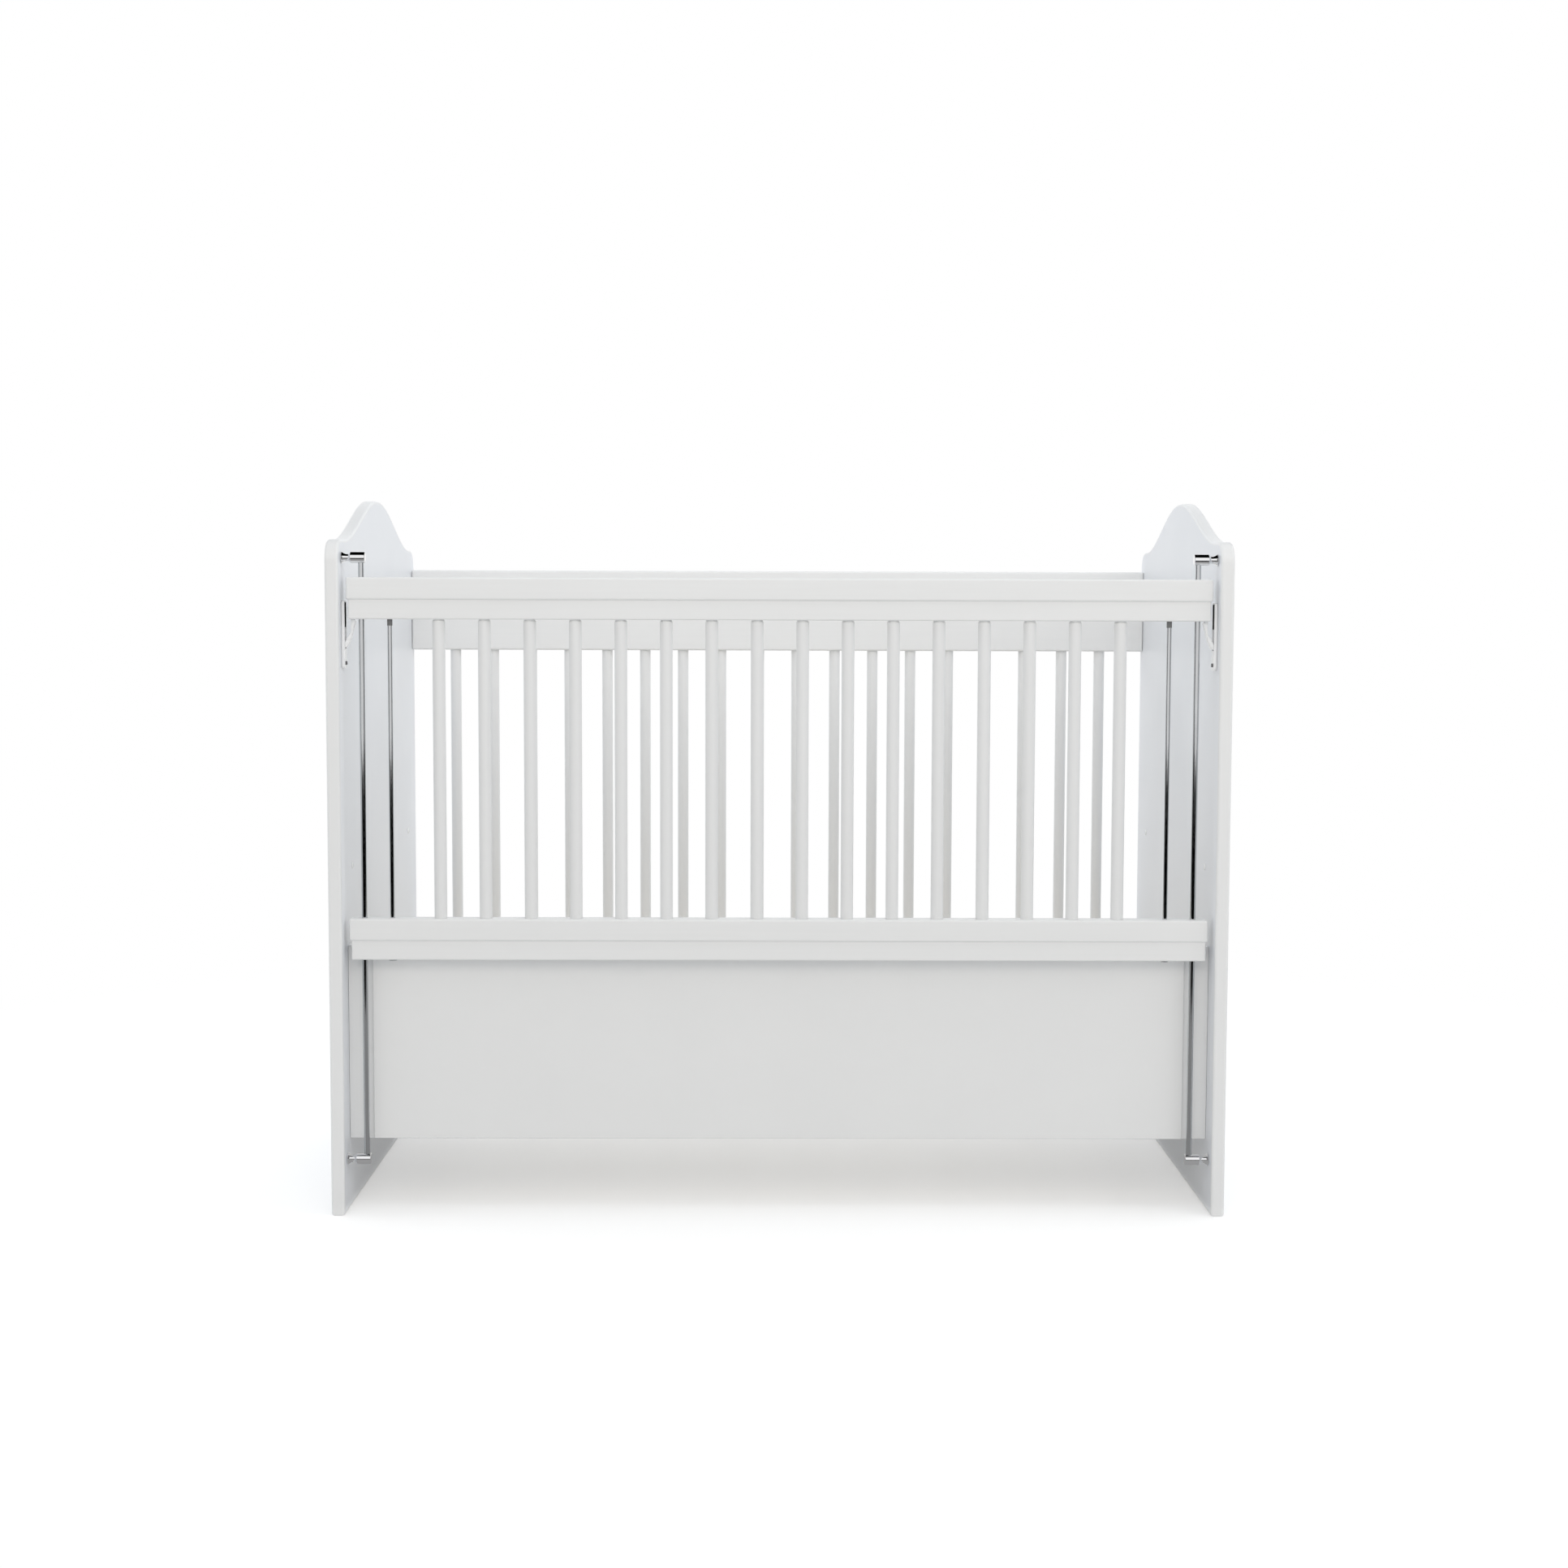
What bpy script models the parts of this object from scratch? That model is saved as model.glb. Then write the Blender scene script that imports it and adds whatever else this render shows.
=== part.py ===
"""A crib with bell-topped end boards, a fixed back side and a drop side that slides on two guide rods.

Metres, +Z up, the front faces -Y, and the origin is the middle of the floor under the crib.
"""

from math import cos, pi, sin

import bmesh
import bpy

# Clearances
FIT_GAP = 0.0003
SLIDE_GAP = 0.0005
CUT_OVERRUN = 0.002
WELD_DISTANCE = 0.000001

# End boards
INNER_LENGTH = 1.215
BOARD_THICKNESS = 0.019
BOARD_DEPTH = 0.690
SHOULDER_ABOVE_DROP_SIDE = 0.0522
CREST_RISE = 0.066
CREST_FLAT_HALF = 0.008
CREST_FOOT_FROM_EDGE = 0.047
BOARD_CORNER_RADIUS = 0.026
BOARD_EDGE_ROUNDING = 0.003
CREST_STEPS = 14
CORNER_STEPS = 5

# Rails of the drop side, with a step along the front and round the ends
DROP_SET_BACK = 0.026
RAIL_THICKNESS = 0.027
RAIL_HEIGHT = 0.058
RAIL_LOWER_HEIGHT = 0.027
RAIL_STEP = 0.0025
RAIL_END_GAP = 0.0078
RAIL_ROUNDING = 0.003
DROP_TOP_HEIGHT = 0.8918
DROP_BOTTOM_TOP_HEIGHT = 0.417

# Rails of the back side
BACK_SET_BACK = 0.001
BACK_BELOW_SHOULDER = 0.032
BACK_TOP_RAIL_HEIGHT = 0.1315
BACK_BOTTOM_TOP_HEIGHT = 0.305
BACK_BOTTOM_RAIL_HEIGHT = 0.070

# Bars
BAR_RADIUS = 0.0088
BAR_SOCKET_DEPTH = 0.012
BAR_SIDES = 16
DROP_BAR_COUNT = 16
DROP_BAR_FROM_BOARD = 0.1342
BACK_BAR_COUNT = 18
BACK_BAR_FROM_BOARD = 0.0711
STEEL_BAR_RADIUS = 0.00325
STEEL_BAR_FROM_BOARD = 0.0665

# Guide rods and the brackets that hold them
ROD_RADIUS = 0.004
ROD_FROM_BOARD = 0.0275
ROD_SIDES = 16
TOP_BRACKET_ABOVE_RAIL = 0.0270
LOWER_BRACKET_HEIGHT = 0.075
BRACKET_REACH = 0.0335
BRACKET_BODY_START = 0.0124
BRACKET_BODY_RADIUS = 0.0078
BRACKET_WAIST_RADIUS = 0.0048
BRACKET_FLANGE_RADIUS = 0.0081
BRACKET_FLANGE_THICKNESS = 0.0015
BRACKET_FLARE_LENGTH = 0.006
BRACKET_CHAMFER = 0.0012
BRACKET_BORE_PAST_AXIS = 0.003
BRACKET_SIDES = 20

# Lower front panel and the posts that carry its ends
PANEL_GAP = 0.003
PANEL_THICKNESS = 0.018
PANEL_BEHIND_RAIL = 0.016
PANEL_BOTTOM_HEIGHT = 0.100
PANEL_END_GAP = 0.0347
PANEL_ROUNDING = 0.0015
POST_RECESS = 0.004

# Mattress base
BASE_TOP_HEIGHT = 0.294
BASE_MEMBER_WIDTH = 0.018
BASE_MEMBER_HEIGHT = 0.040
SLAT_THICKNESS = 0.008
SLAT_WIDTH = 0.060
SLAT_SEAT = 0.001
SLAT_COUNT = 12
SLAT_END_MARGIN = 0.045
SLAT_TIP_INSET = 0.0015

# Bolts of the mattress base, and the spare row of holes for its upper place
BOLT_FROM_EDGE = 0.087
BOLT_BELOW_TOP = 0.022
UPPER_HOLE_HEIGHT = 0.484
BOLT_RADIUS = 0.003
BOLT_HEAD_RADIUS = 0.0065
BOLT_HEAD_THICKNESS = 0.004
BOLT_HOLE_GAP = 0.0003
BOARD_HOLE_DEPTH = 0.013
BOLT_SIDES = 12

# Sprung latches under the ends of the drop side's top rail, each a plate with a tall window
LATCH_BEHIND_RODS = 0.004
LATCH_WIDTH = 0.018
LATCH_THICKNESS = 0.0042
LATCH_ABOVE_RAIL_FOOT = 0.0256
LATCH_BELOW_RAIL_FOOT = 0.0682
LATCH_CORNER_RADIUS = 0.004
LATCH_SCREW_FROM_FOOT = 0.0074
LATCH_SCREW_HOLE_RADIUS = 0.0018
TONGUE_WIDTH = 0.012
TONGUE_LENGTH = 0.0383
TONGUE_REACH = 0.0190
TONGUE_ROOT_DROP = 0.0012
WINDOW_BELOW_ROOT = 0.0008
LATCH_RIM = 0.002

# The tongue's outline from its root round its nose and back: shares of its reach and of its length
TONGUE_REACH_SHARES = (0.215, 0.400, 0.660, 1.000, 0.880, 0.660, 0.660, 0.110)
TONGUE_LENGTH_SHARES = (0.000, 0.020, 0.300, 0.925, 1.000, 1.000, 0.550, 0.100)
TONGUE_ROOT_SHARE = 0.034

# Places worked out from the sizes above
HALF_INNER = INNER_LENGTH / 2
HALF_DEPTH = BOARD_DEPTH / 2
SHOULDER_HEIGHT = DROP_TOP_HEIGHT + SHOULDER_ABOVE_DROP_SIDE
CREST_FOOT_HALF = HALF_DEPTH - CREST_FOOT_FROM_EDGE
DROP_Y = -HALF_DEPTH + DROP_SET_BACK
BACK_TOP_HEIGHT = SHOULDER_HEIGHT - BACK_BELOW_SHOULDER
BACK_Y = HALF_DEPTH - BACK_SET_BACK - RAIL_THICKNESS / 2
DROP_RAIL_FOOT = DROP_TOP_HEIGHT - RAIL_HEIGHT
TOP_BRACKET_HEIGHT = DROP_TOP_HEIGHT + TOP_BRACKET_ABOVE_RAIL
PANEL_TOP_HEIGHT = DROP_BOTTOM_TOP_HEIGHT - RAIL_HEIGHT + PANEL_BEHIND_RAIL
PANEL_FRONT_Y = DROP_Y + RAIL_THICKNESS / 2 + PANEL_GAP
PANEL_BACK_Y = PANEL_FRONT_Y + PANEL_THICKNESS
ROD_X = HALF_INNER - ROD_FROM_BOARD
STEEL_BAR_X = HALF_INNER - STEEL_BAR_FROM_BOARD
DROP_BAR_PITCH = 2 * (HALF_INNER - DROP_BAR_FROM_BOARD) / (DROP_BAR_COUNT - 1)
BACK_BAR_PITCH = 2 * (HALF_INNER - BACK_BAR_FROM_BOARD) / (BACK_BAR_COUNT - 1)
BOLT_COLUMN = HALF_DEPTH - BOLT_FROM_EDGE
BOLT_HEIGHT = BASE_TOP_HEIGHT - BOLT_BELOW_TOP
TONGUE_PIVOT_X = HALF_INNER - FIT_GAP - LATCH_THICKNESS / 2
TONGUE_PIVOT_Z = DROP_RAIL_FOOT - FIT_GAP - TONGUE_LENGTH
LATCH_Y = DROP_Y + LATCH_BEHIND_RODS

SIDES = {"left": -1, "right": 1}

parts = bpy.data.collections.new("crib")
cutters = bpy.data.collections.new("cutters")


def start_scene():
    """Empties the scene and adds the collections of the parts and of the cutters."""
    for item in list(bpy.data.objects):
        bpy.data.objects.remove(item, do_unlink=True)
    bpy.context.scene.collection.children.link(parts)
    bpy.context.scene.collection.children.link(cutters)


def make_material(name, color, roughness, metallic=0.0):
    """Returns a Principled BSDF material."""
    material = bpy.data.materials.new(name)
    material.use_nodes = True
    shader = material.node_tree.nodes["Principled BSDF"]
    shader.inputs["Base Color"].default_value = (*color, 1.0)
    shader.inputs["Roughness"].default_value = roughness
    shader.inputs["Metallic"].default_value = metallic
    return material


def add_empty(name, location, parent=None):
    """Adds an empty that places the pieces parented to it."""
    empty = bpy.data.objects.new(name, None)
    empty.location = location
    empty.parent = parent
    parts.objects.link(empty)
    return empty


def add_piece(name, mesh, material, parent, location=(0, 0, 0), rotation=(0, 0, 0)):
    """Adds a part of the crib from a mesh."""
    piece = bpy.data.objects.new(name, mesh)
    if material.name not in mesh.materials:
        mesh.materials.append(material)
    piece.parent = parent
    piece.location = location
    piece.rotation_euler = rotation
    parts.objects.link(piece)
    return piece


def add_cutter(name, mesh, parent, location=(0, 0, 0), rotation=(0, 0, 0)):
    """Adds a hidden solid that a Boolean cuts with or joins on."""
    cutter = bpy.data.objects.new(name, mesh)
    cutter.parent = parent
    cutter.location = location
    cutter.rotation_euler = rotation
    cutter.hide_render = True
    cutter.display_type = "WIRE"
    cutters.objects.link(cutter)
    return cutter


def add_boolean(piece, cutter, operation):
    """Adds an exact Boolean with the cutter to the piece."""
    boolean = piece.modifiers.new(operation.lower(), "BOOLEAN")
    boolean.operation = operation
    boolean.solver = "EXACT"
    boolean.object = cutter


def add_bevel(piece, width, segments=2):
    """Rounds the sharp edges of a piece."""
    bevel = piece.modifiers.new("edges", "BEVEL")
    bevel.width = width
    bevel.segments = segments
    bevel.limit_method = "ANGLE"
    bevel.angle_limit = pi / 3
    bevel.use_clamp_overlap = True


def box_mesh(name, boxes):
    """Returns a mesh of boxes, each given by its centre and its size."""
    build = bmesh.new()
    for centre, size in boxes:
        made = bmesh.ops.create_cube(build, size=1.0)["verts"]
        bmesh.ops.scale(build, vec=size, verts=made)
        bmesh.ops.translate(build, vec=centre, verts=made)
    mesh = bpy.data.meshes.new(name)
    build.to_mesh(mesh)
    build.free()
    return mesh


def cylinder_mesh(name, cylinders, sides):
    """Returns a mesh of upright cylinders, each given by its middle, radius and length."""
    build = bmesh.new()
    for middle, radius, length in cylinders:
        made = bmesh.ops.create_cone(
            build, cap_ends=True, segments=sides, radius1=radius, radius2=radius, depth=length
        )["verts"]
        bmesh.ops.translate(build, vec=middle, verts=made)
    mesh = bpy.data.meshes.new(name)
    build.to_mesh(mesh)
    build.free()
    mesh.shade_smooth()
    mesh.set_sharp_from_angle(angle=pi / 5)
    return mesh


def turned_piece(name, profile, sides, material, parent, location, rotation):
    """Adds a turned piece: the profile runs down its outer side as (radius, height) from the top."""
    mesh = bpy.data.meshes.new(name)
    points = [(radius, 0, height) for radius, height in profile]
    mesh.from_pydata(points, [(i, i + 1) for i in range(len(points) - 1)], [])
    piece = add_piece(name, mesh, material, parent, location, rotation)
    screw = piece.modifiers.new("turn", "SCREW")
    screw.steps = sides
    screw.render_steps = sides
    screw.use_merge_vertices = True
    screw.merge_threshold = WELD_DISTANCE
    return piece


def outline_mesh(name, loops, thickness):
    """Returns the mesh of a flat outline with holes, given a thickness and welded."""
    curve = bpy.data.curves.new(name, "CURVE")
    curve.dimensions = "2D"
    curve.fill_mode = "BOTH"
    curve.extrude = thickness / 2
    for loop in loops:
        spline = curve.splines.new("POLY")
        spline.points.add(len(loop) - 1)
        for point, (across, up) in zip(spline.points, loop):
            point.co = (across, up, 0, 1)
        spline.use_cyclic_u = True
    holder = bpy.data.objects.new(name, curve)
    parts.objects.link(holder)
    graph = bpy.context.evaluated_depsgraph_get()
    mesh = bpy.data.meshes.new_from_object(holder.evaluated_get(graph))
    bpy.data.objects.remove(holder, do_unlink=True)
    bpy.data.curves.remove(curve)
    build = bmesh.new()
    build.from_mesh(mesh)
    bmesh.ops.remove_doubles(build, verts=build.verts, dist=WELD_DISTANCE)
    bmesh.ops.dissolve_limit(build, angle_limit=pi / 1800, verts=build.verts, edges=build.edges)
    bmesh.ops.recalc_face_normals(build, faces=build.faces)
    build.to_mesh(mesh)
    build.free()
    mesh.name = name
    return mesh


def circle_points(radius, sides, across=0.0, up=0.0):
    """Returns the points of a regular polygon round a centre."""
    turns = [2 * pi * i / sides for i in range(sides)]
    return [(across + radius * cos(turn), up + radius * sin(turn)) for turn in turns]


def rounded_rectangle(low, high, radius, steps):
    """Returns the outline of a rectangle between two corners, with its own corners rounded."""
    points = []
    corners = ((high[0], high[1], 0), (low[0], high[1], 1), (low[0], low[1], 2), (high[0], low[1], 3))
    for across, up, quarter in corners:
        inward = (-1 if across == high[0] else 1, -1 if up == high[1] else 1)
        centre = (across + inward[0] * radius, up + inward[1] * radius)
        for i in range(steps + 1):
            turn = pi / 2 * (quarter + i / steps)
            points.append((centre[0] + radius * cos(turn), centre[1] + radius * sin(turn)))
    return points


def crest_height(place):
    """Returns the height of an end board's top at a distance from its middle."""
    share = (CREST_FOOT_HALF - abs(place)) / (CREST_FOOT_HALF - CREST_FLAT_HALF)
    share = min(max(share, 0.0), 1.0)
    return SHOULDER_HEIGHT + CREST_RISE * share * share * (3 - 2 * share)


def board_outline():
    """Returns an end board's outline as (depth, height): a bell between two rounded corners."""
    half = []
    for i in range(CREST_STEPS + 1):
        place = CREST_FLAT_HALF + (CREST_FOOT_HALF - CREST_FLAT_HALF) * i / CREST_STEPS
        half.append((place, crest_height(place)))
    centre = (HALF_DEPTH - BOARD_CORNER_RADIUS, SHOULDER_HEIGHT - BOARD_CORNER_RADIUS)
    for i in range(CORNER_STEPS + 1):
        turn = pi / 2 * (1 - i / CORNER_STEPS)
        half.append((centre[0] + BOARD_CORNER_RADIUS * cos(turn), centre[1] + BOARD_CORNER_RADIUS * sin(turn)))
    half.append((HALF_DEPTH, 0))
    return half + [(-depth, height) for depth, height in reversed(half)]


def add_end_boards(parent, wood):
    """Adds the two end boards, with blind holes for both heights of the mattress base."""
    hole = BOLT_RADIUS + BOLT_HOLE_GAP
    length = BOARD_HOLE_DEPTH + CUT_OVERRUN
    for side, sign in SIDES.items():
        mesh = outline_mesh(f"end_board_{side}", [board_outline()], BOARD_THICKNESS)
        middle = sign * (HALF_INNER + BOARD_THICKNESS / 2)
        board = add_piece(f"end_board_{side}", mesh, wood, parent, (middle, 0, 0), (pi / 2, 0, pi / 2))
        add_bevel(board, BOARD_EDGE_ROUNDING)
        drills = []
        for place in (-BOLT_COLUMN, BOLT_COLUMN):
            for height in (BOLT_HEIGHT, UPPER_HOLE_HEIGHT):
                drills.append(((-height, place, 0), hole, length))
        start = sign * (HALF_INNER + BOARD_HOLE_DEPTH - length / 2)
        drill = cylinder_mesh(f"board_holes_{side}", drills, BOLT_SIDES)
        cutter = add_cutter(f"board_holes_{side}", drill, parent, (start, 0, 0), (0, pi / 2, 0))
        add_boolean(board, cutter, "DIFFERENCE")


def bar_places(count, pitch):
    """Returns the places of evenly spaced bars along X, about the middle."""
    return [(i - (count - 1) / 2) * pitch for i in range(count)]


def socket_cylinders(places, y, radius, mouth, upward):
    """Returns blind sockets for bars, cut upward or downward from a rail's face."""
    depth = BAR_SOCKET_DEPTH
    length = depth + CUT_OVERRUN
    middle = mouth + upward * (depth - CUT_OVERRUN) / 2
    return [((x, y, middle), radius, length) for x in places]


def add_stepped_rail(name, top, parent, wood):
    """Adds a rail of the drop side, its upper part standing proud of its lower part."""
    half = HALF_INNER - RAIL_END_GAP
    upper = RAIL_HEIGHT - RAIL_LOWER_HEIGHT
    size = (2 * half, RAIL_THICKNESS, upper)
    rail = add_piece(name, box_mesh(name, [((0, 0, 0), size)]), wood, parent, (0, DROP_Y, top - upper / 2))
    add_bevel(rail, RAIL_ROUNDING)
    overlap = RAIL_ROUNDING + CUT_OVERRUN
    height = RAIL_LOWER_HEIGHT + overlap
    size = (2 * (half - RAIL_STEP), RAIL_THICKNESS - RAIL_STEP, height)
    centre = (0, DROP_Y + RAIL_STEP / 2, top - RAIL_HEIGHT + height / 2)
    lower = add_cutter(f"{name}_lower", box_mesh(f"{name}_lower", [((0, 0, 0), size)]), parent, centre)
    add_bevel(lower, RAIL_ROUNDING)
    add_boolean(rail, lower, "UNION")
    return rail


def add_drop_side(parent, wood, steel):
    """Adds the drop side: two rails, the wooden bars and a steel bar near each end."""
    places = bar_places(DROP_BAR_COUNT, DROP_BAR_PITCH)
    steel_places = [sign * STEEL_BAR_X for sign in SIDES.values()]
    rod_places = [sign * ROD_X for sign in SIDES.values()]
    bottom = DROP_BOTTOM_TOP_HEIGHT
    for name, top, mouth, upward in (
        ("drop_rail_top", DROP_TOP_HEIGHT, DROP_RAIL_FOOT, 1),
        ("drop_rail_bottom", bottom, bottom, -1),
    ):
        rail = add_stepped_rail(name, top, parent, wood)
        cuts = socket_cylinders(places, DROP_Y, BAR_RADIUS + FIT_GAP, mouth, upward)
        cuts += socket_cylinders(steel_places, DROP_Y, STEEL_BAR_RADIUS + FIT_GAP, mouth, upward)
        through = RAIL_HEIGHT + 2 * CUT_OVERRUN
        for x in rod_places:
            cuts.append(((x, DROP_Y, top - RAIL_HEIGHT / 2), ROD_RADIUS + SLIDE_GAP, through))
        holes = add_cutter(f"{name}_holes", cylinder_mesh(f"{name}_holes", cuts, BAR_SIDES), parent)
        add_boolean(rail, holes, "DIFFERENCE")
    length = DROP_RAIL_FOOT - bottom + 2 * (BAR_SOCKET_DEPTH - FIT_GAP)
    middle = (DROP_RAIL_FOOT + bottom) / 2
    mesh = cylinder_mesh("drop_bar", [((0, 0, 0), BAR_RADIUS, length)], BAR_SIDES)
    for number, x in enumerate(places, 1):
        add_piece(f"drop_bar_{number:02d}", mesh, wood, parent, (x, DROP_Y, middle))
    mesh = cylinder_mesh("steel_bar", [((0, 0, 0), STEEL_BAR_RADIUS, length)], BAR_SIDES)
    for side, sign in SIDES.items():
        add_piece(f"steel_bar_{side}", mesh, steel, parent, (sign * STEEL_BAR_X, DROP_Y, middle))


def add_back_side(parent, wood):
    """Adds the fixed back side: a deep top rail, a bottom rail and the bars between them."""
    places = bar_places(BACK_BAR_COUNT, BACK_BAR_PITCH)
    foot = BACK_TOP_HEIGHT - BACK_TOP_RAIL_HEIGHT
    for name, top, height, mouth, upward in (
        ("back_rail_top", BACK_TOP_HEIGHT, BACK_TOP_RAIL_HEIGHT, foot, 1),
        ("back_rail_bottom", BACK_BOTTOM_TOP_HEIGHT, BACK_BOTTOM_RAIL_HEIGHT, BACK_BOTTOM_TOP_HEIGHT, -1),
    ):
        size = (INNER_LENGTH - 2 * FIT_GAP, RAIL_THICKNESS, height)
        mesh = box_mesh(name, [((0, 0, 0), size)])
        rail = add_piece(name, mesh, wood, parent, (0, BACK_Y, top - height / 2))
        add_bevel(rail, RAIL_ROUNDING)
        cuts = socket_cylinders(places, BACK_Y, BAR_RADIUS + FIT_GAP, mouth, upward)
        holes = add_cutter(f"{name}_holes", cylinder_mesh(f"{name}_holes", cuts, BAR_SIDES), parent)
        add_boolean(rail, holes, "DIFFERENCE")
    length = foot - BACK_BOTTOM_TOP_HEIGHT + 2 * (BAR_SOCKET_DEPTH - FIT_GAP)
    middle = (foot + BACK_BOTTOM_TOP_HEIGHT) / 2
    mesh = cylinder_mesh("back_bar", [((0, 0, 0), BAR_RADIUS, length)], BAR_SIDES)
    for number, x in enumerate(places, 1):
        add_piece(f"back_bar_{number:02d}", mesh, wood, parent, (x, BACK_Y, middle))


def bracket_profile():
    """Returns a rod bracket's turned profile, from its free end to its flange, as (radius, height)."""
    flange_foot = FIT_GAP
    return [
        (0, BRACKET_REACH),
        (BRACKET_BODY_RADIUS - BRACKET_CHAMFER, BRACKET_REACH),
        (BRACKET_BODY_RADIUS, BRACKET_REACH - BRACKET_CHAMFER),
        (BRACKET_BODY_RADIUS, BRACKET_BODY_START + BRACKET_CHAMFER),
        (BRACKET_BODY_RADIUS - BRACKET_CHAMFER, BRACKET_BODY_START),
        (BRACKET_WAIST_RADIUS, BRACKET_BODY_START - BRACKET_CHAMFER),
        (BRACKET_WAIST_RADIUS, flange_foot + BRACKET_FLARE_LENGTH),
        (BRACKET_FLANGE_RADIUS, flange_foot + BRACKET_FLANGE_THICKNESS),
        (BRACKET_FLANGE_RADIUS, flange_foot),
        (0, flange_foot),
    ]


def add_guide_rods(parent, steel):
    """Adds the two guide rods and the four brackets that hold them off the end boards."""
    past = BRACKET_BORE_PAST_AXIS
    rod_end = past - FIT_GAP
    low = LOWER_BRACKET_HEIGHT - rod_end
    high = TOP_BRACKET_HEIGHT + rod_end
    rod = cylinder_mesh("guide_rod", [((0, 0, 0), ROD_RADIUS, high - low)], ROD_SIDES)
    bore_length = past + BRACKET_BODY_RADIUS + CUT_OVERRUN
    bore = cylinder_mesh("rod_bore", [((0, 0, 0), ROD_RADIUS + FIT_GAP, bore_length)], ROD_SIDES)
    for side, sign in SIDES.items():
        add_piece(f"guide_rod_{side}", rod, steel, parent, (sign * ROD_X, DROP_Y, (low + high) / 2))
        for level, height, inward in (("top", TOP_BRACKET_HEIGHT, -1), ("bottom", LOWER_BRACKET_HEIGHT, 1)):
            name = f"rod_bracket_{level}_{side}"
            place = (sign * HALF_INNER, DROP_Y, height)
            turn = (0, -sign * pi / 2, 0)
            bracket = turned_piece(name, bracket_profile(), BRACKET_SIDES, steel, parent, place, turn)
            middle = height + inward * (bore_length / 2 - past)
            cutter = add_cutter(f"{name}_bore", bore, parent, (sign * ROD_X, DROP_Y, middle))
            add_boolean(bracket, cutter, "DIFFERENCE")


def add_lower_panel(parent, wood):
    """Adds the panel behind the drop side's foot and the posts that join its ends to the end boards."""
    half = HALF_INNER - PANEL_END_GAP
    height = PANEL_TOP_HEIGHT - PANEL_BOTTOM_HEIGHT
    middle = (PANEL_TOP_HEIGHT + PANEL_BOTTOM_HEIGHT) / 2
    size = (2 * half, PANEL_THICKNESS, height)
    centre = (0, (PANEL_FRONT_Y + PANEL_BACK_Y) / 2, middle)
    panel = add_piece("lower_panel", box_mesh("lower_panel", [((0, 0, 0), size)]), wood, parent, centre)
    add_bevel(panel, PANEL_ROUNDING)
    size = (PANEL_END_GAP - 2 * FIT_GAP, PANEL_THICKNESS - POST_RECESS, height)
    mesh = box_mesh("panel_post", [((0, 0, 0), size)])
    for side, sign in SIDES.items():
        place = (sign * (half + PANEL_END_GAP / 2), PANEL_BACK_Y - size[1] / 2, middle)
        post = add_piece(f"panel_post_{side}", mesh, wood, parent, place)
        add_bevel(post, PANEL_ROUNDING)


def add_mattress_base(parent, wood, steel):
    """Adds the slatted base, one glued frame, and the four bolts that hold it to the end boards."""
    half = HALF_INNER - FIT_GAP
    front = PANEL_BACK_Y + FIT_GAP
    back = BACK_Y - RAIL_THICKNESS / 2 - FIT_GAP
    width = back - front
    middle = (front + back) / 2
    frame_top = BASE_TOP_HEIGHT - SLAT_THICKNESS + SLAT_SEAT
    frame_z = frame_top - BASE_MEMBER_HEIGHT / 2
    size = (2 * half, width, BASE_MEMBER_HEIGHT)
    base = add_piece("mattress_base", box_mesh("mattress_base", [((0, 0, 0), size)]), wood, parent, (0, middle, frame_z))
    size = (
        2 * (half - BASE_MEMBER_WIDTH),
        width - 2 * BASE_MEMBER_WIDTH,
        BASE_MEMBER_HEIGHT + 2 * CUT_OVERRUN,
    )
    opening = add_cutter("base_opening", box_mesh("base_opening", [((0, 0, 0), size)]), parent, base.location)
    add_boolean(base, opening, "DIFFERENCE")
    span = 2 * (half - SLAT_END_MARGIN) - SLAT_WIDTH
    length = width - 2 * SLAT_TIP_INSET
    slats = []
    for x in bar_places(SLAT_COUNT, span / (SLAT_COUNT - 1)):
        slats.append(((x, middle, BASE_TOP_HEIGHT - SLAT_THICKNESS / 2), (SLAT_WIDTH, length, SLAT_THICKNESS)))
    add_boolean(base, add_cutter("base_slats", box_mesh("base_slats", slats), parent), "UNION")
    holes = []
    hole_length = BASE_MEMBER_WIDTH + 2 * CUT_OVERRUN
    for sign in SIDES.values():
        for y in (-BOLT_COLUMN, BOLT_COLUMN):
            place = (-BOLT_HEIGHT, y, sign * (half - BASE_MEMBER_WIDTH / 2))
            holes.append((place, BOLT_RADIUS + BOLT_HOLE_GAP, hole_length))
    mesh = cylinder_mesh("base_bolt_holes", holes, BOLT_SIDES)
    add_boolean(base, add_cutter("base_bolt_holes", mesh, parent, (0, 0, 0), (0, pi / 2, 0)), "DIFFERENCE")
    head_seat = half - BASE_MEMBER_WIDTH - FIT_GAP
    reach = HALF_INNER + BOARD_HOLE_DEPTH - FIT_GAP - head_seat
    profile = [
        (0, BOLT_HEAD_THICKNESS),
        (BOLT_HEAD_RADIUS, BOLT_HEAD_THICKNESS),
        (BOLT_HEAD_RADIUS, 0),
        (BOLT_RADIUS, 0),
        (BOLT_RADIUS, -reach),
        (0, -reach),
    ]
    for side, sign in SIDES.items():
        for row, y in (("front", -BOLT_COLUMN), ("back", BOLT_COLUMN)):
            place = (sign * head_seat, y, BOLT_HEIGHT)
            turn = (0, -sign * pi / 2, 0)
            turned_piece(f"base_bolt_{row}_{side}", profile, BOLT_SIDES, steel, parent, place, turn)


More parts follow.
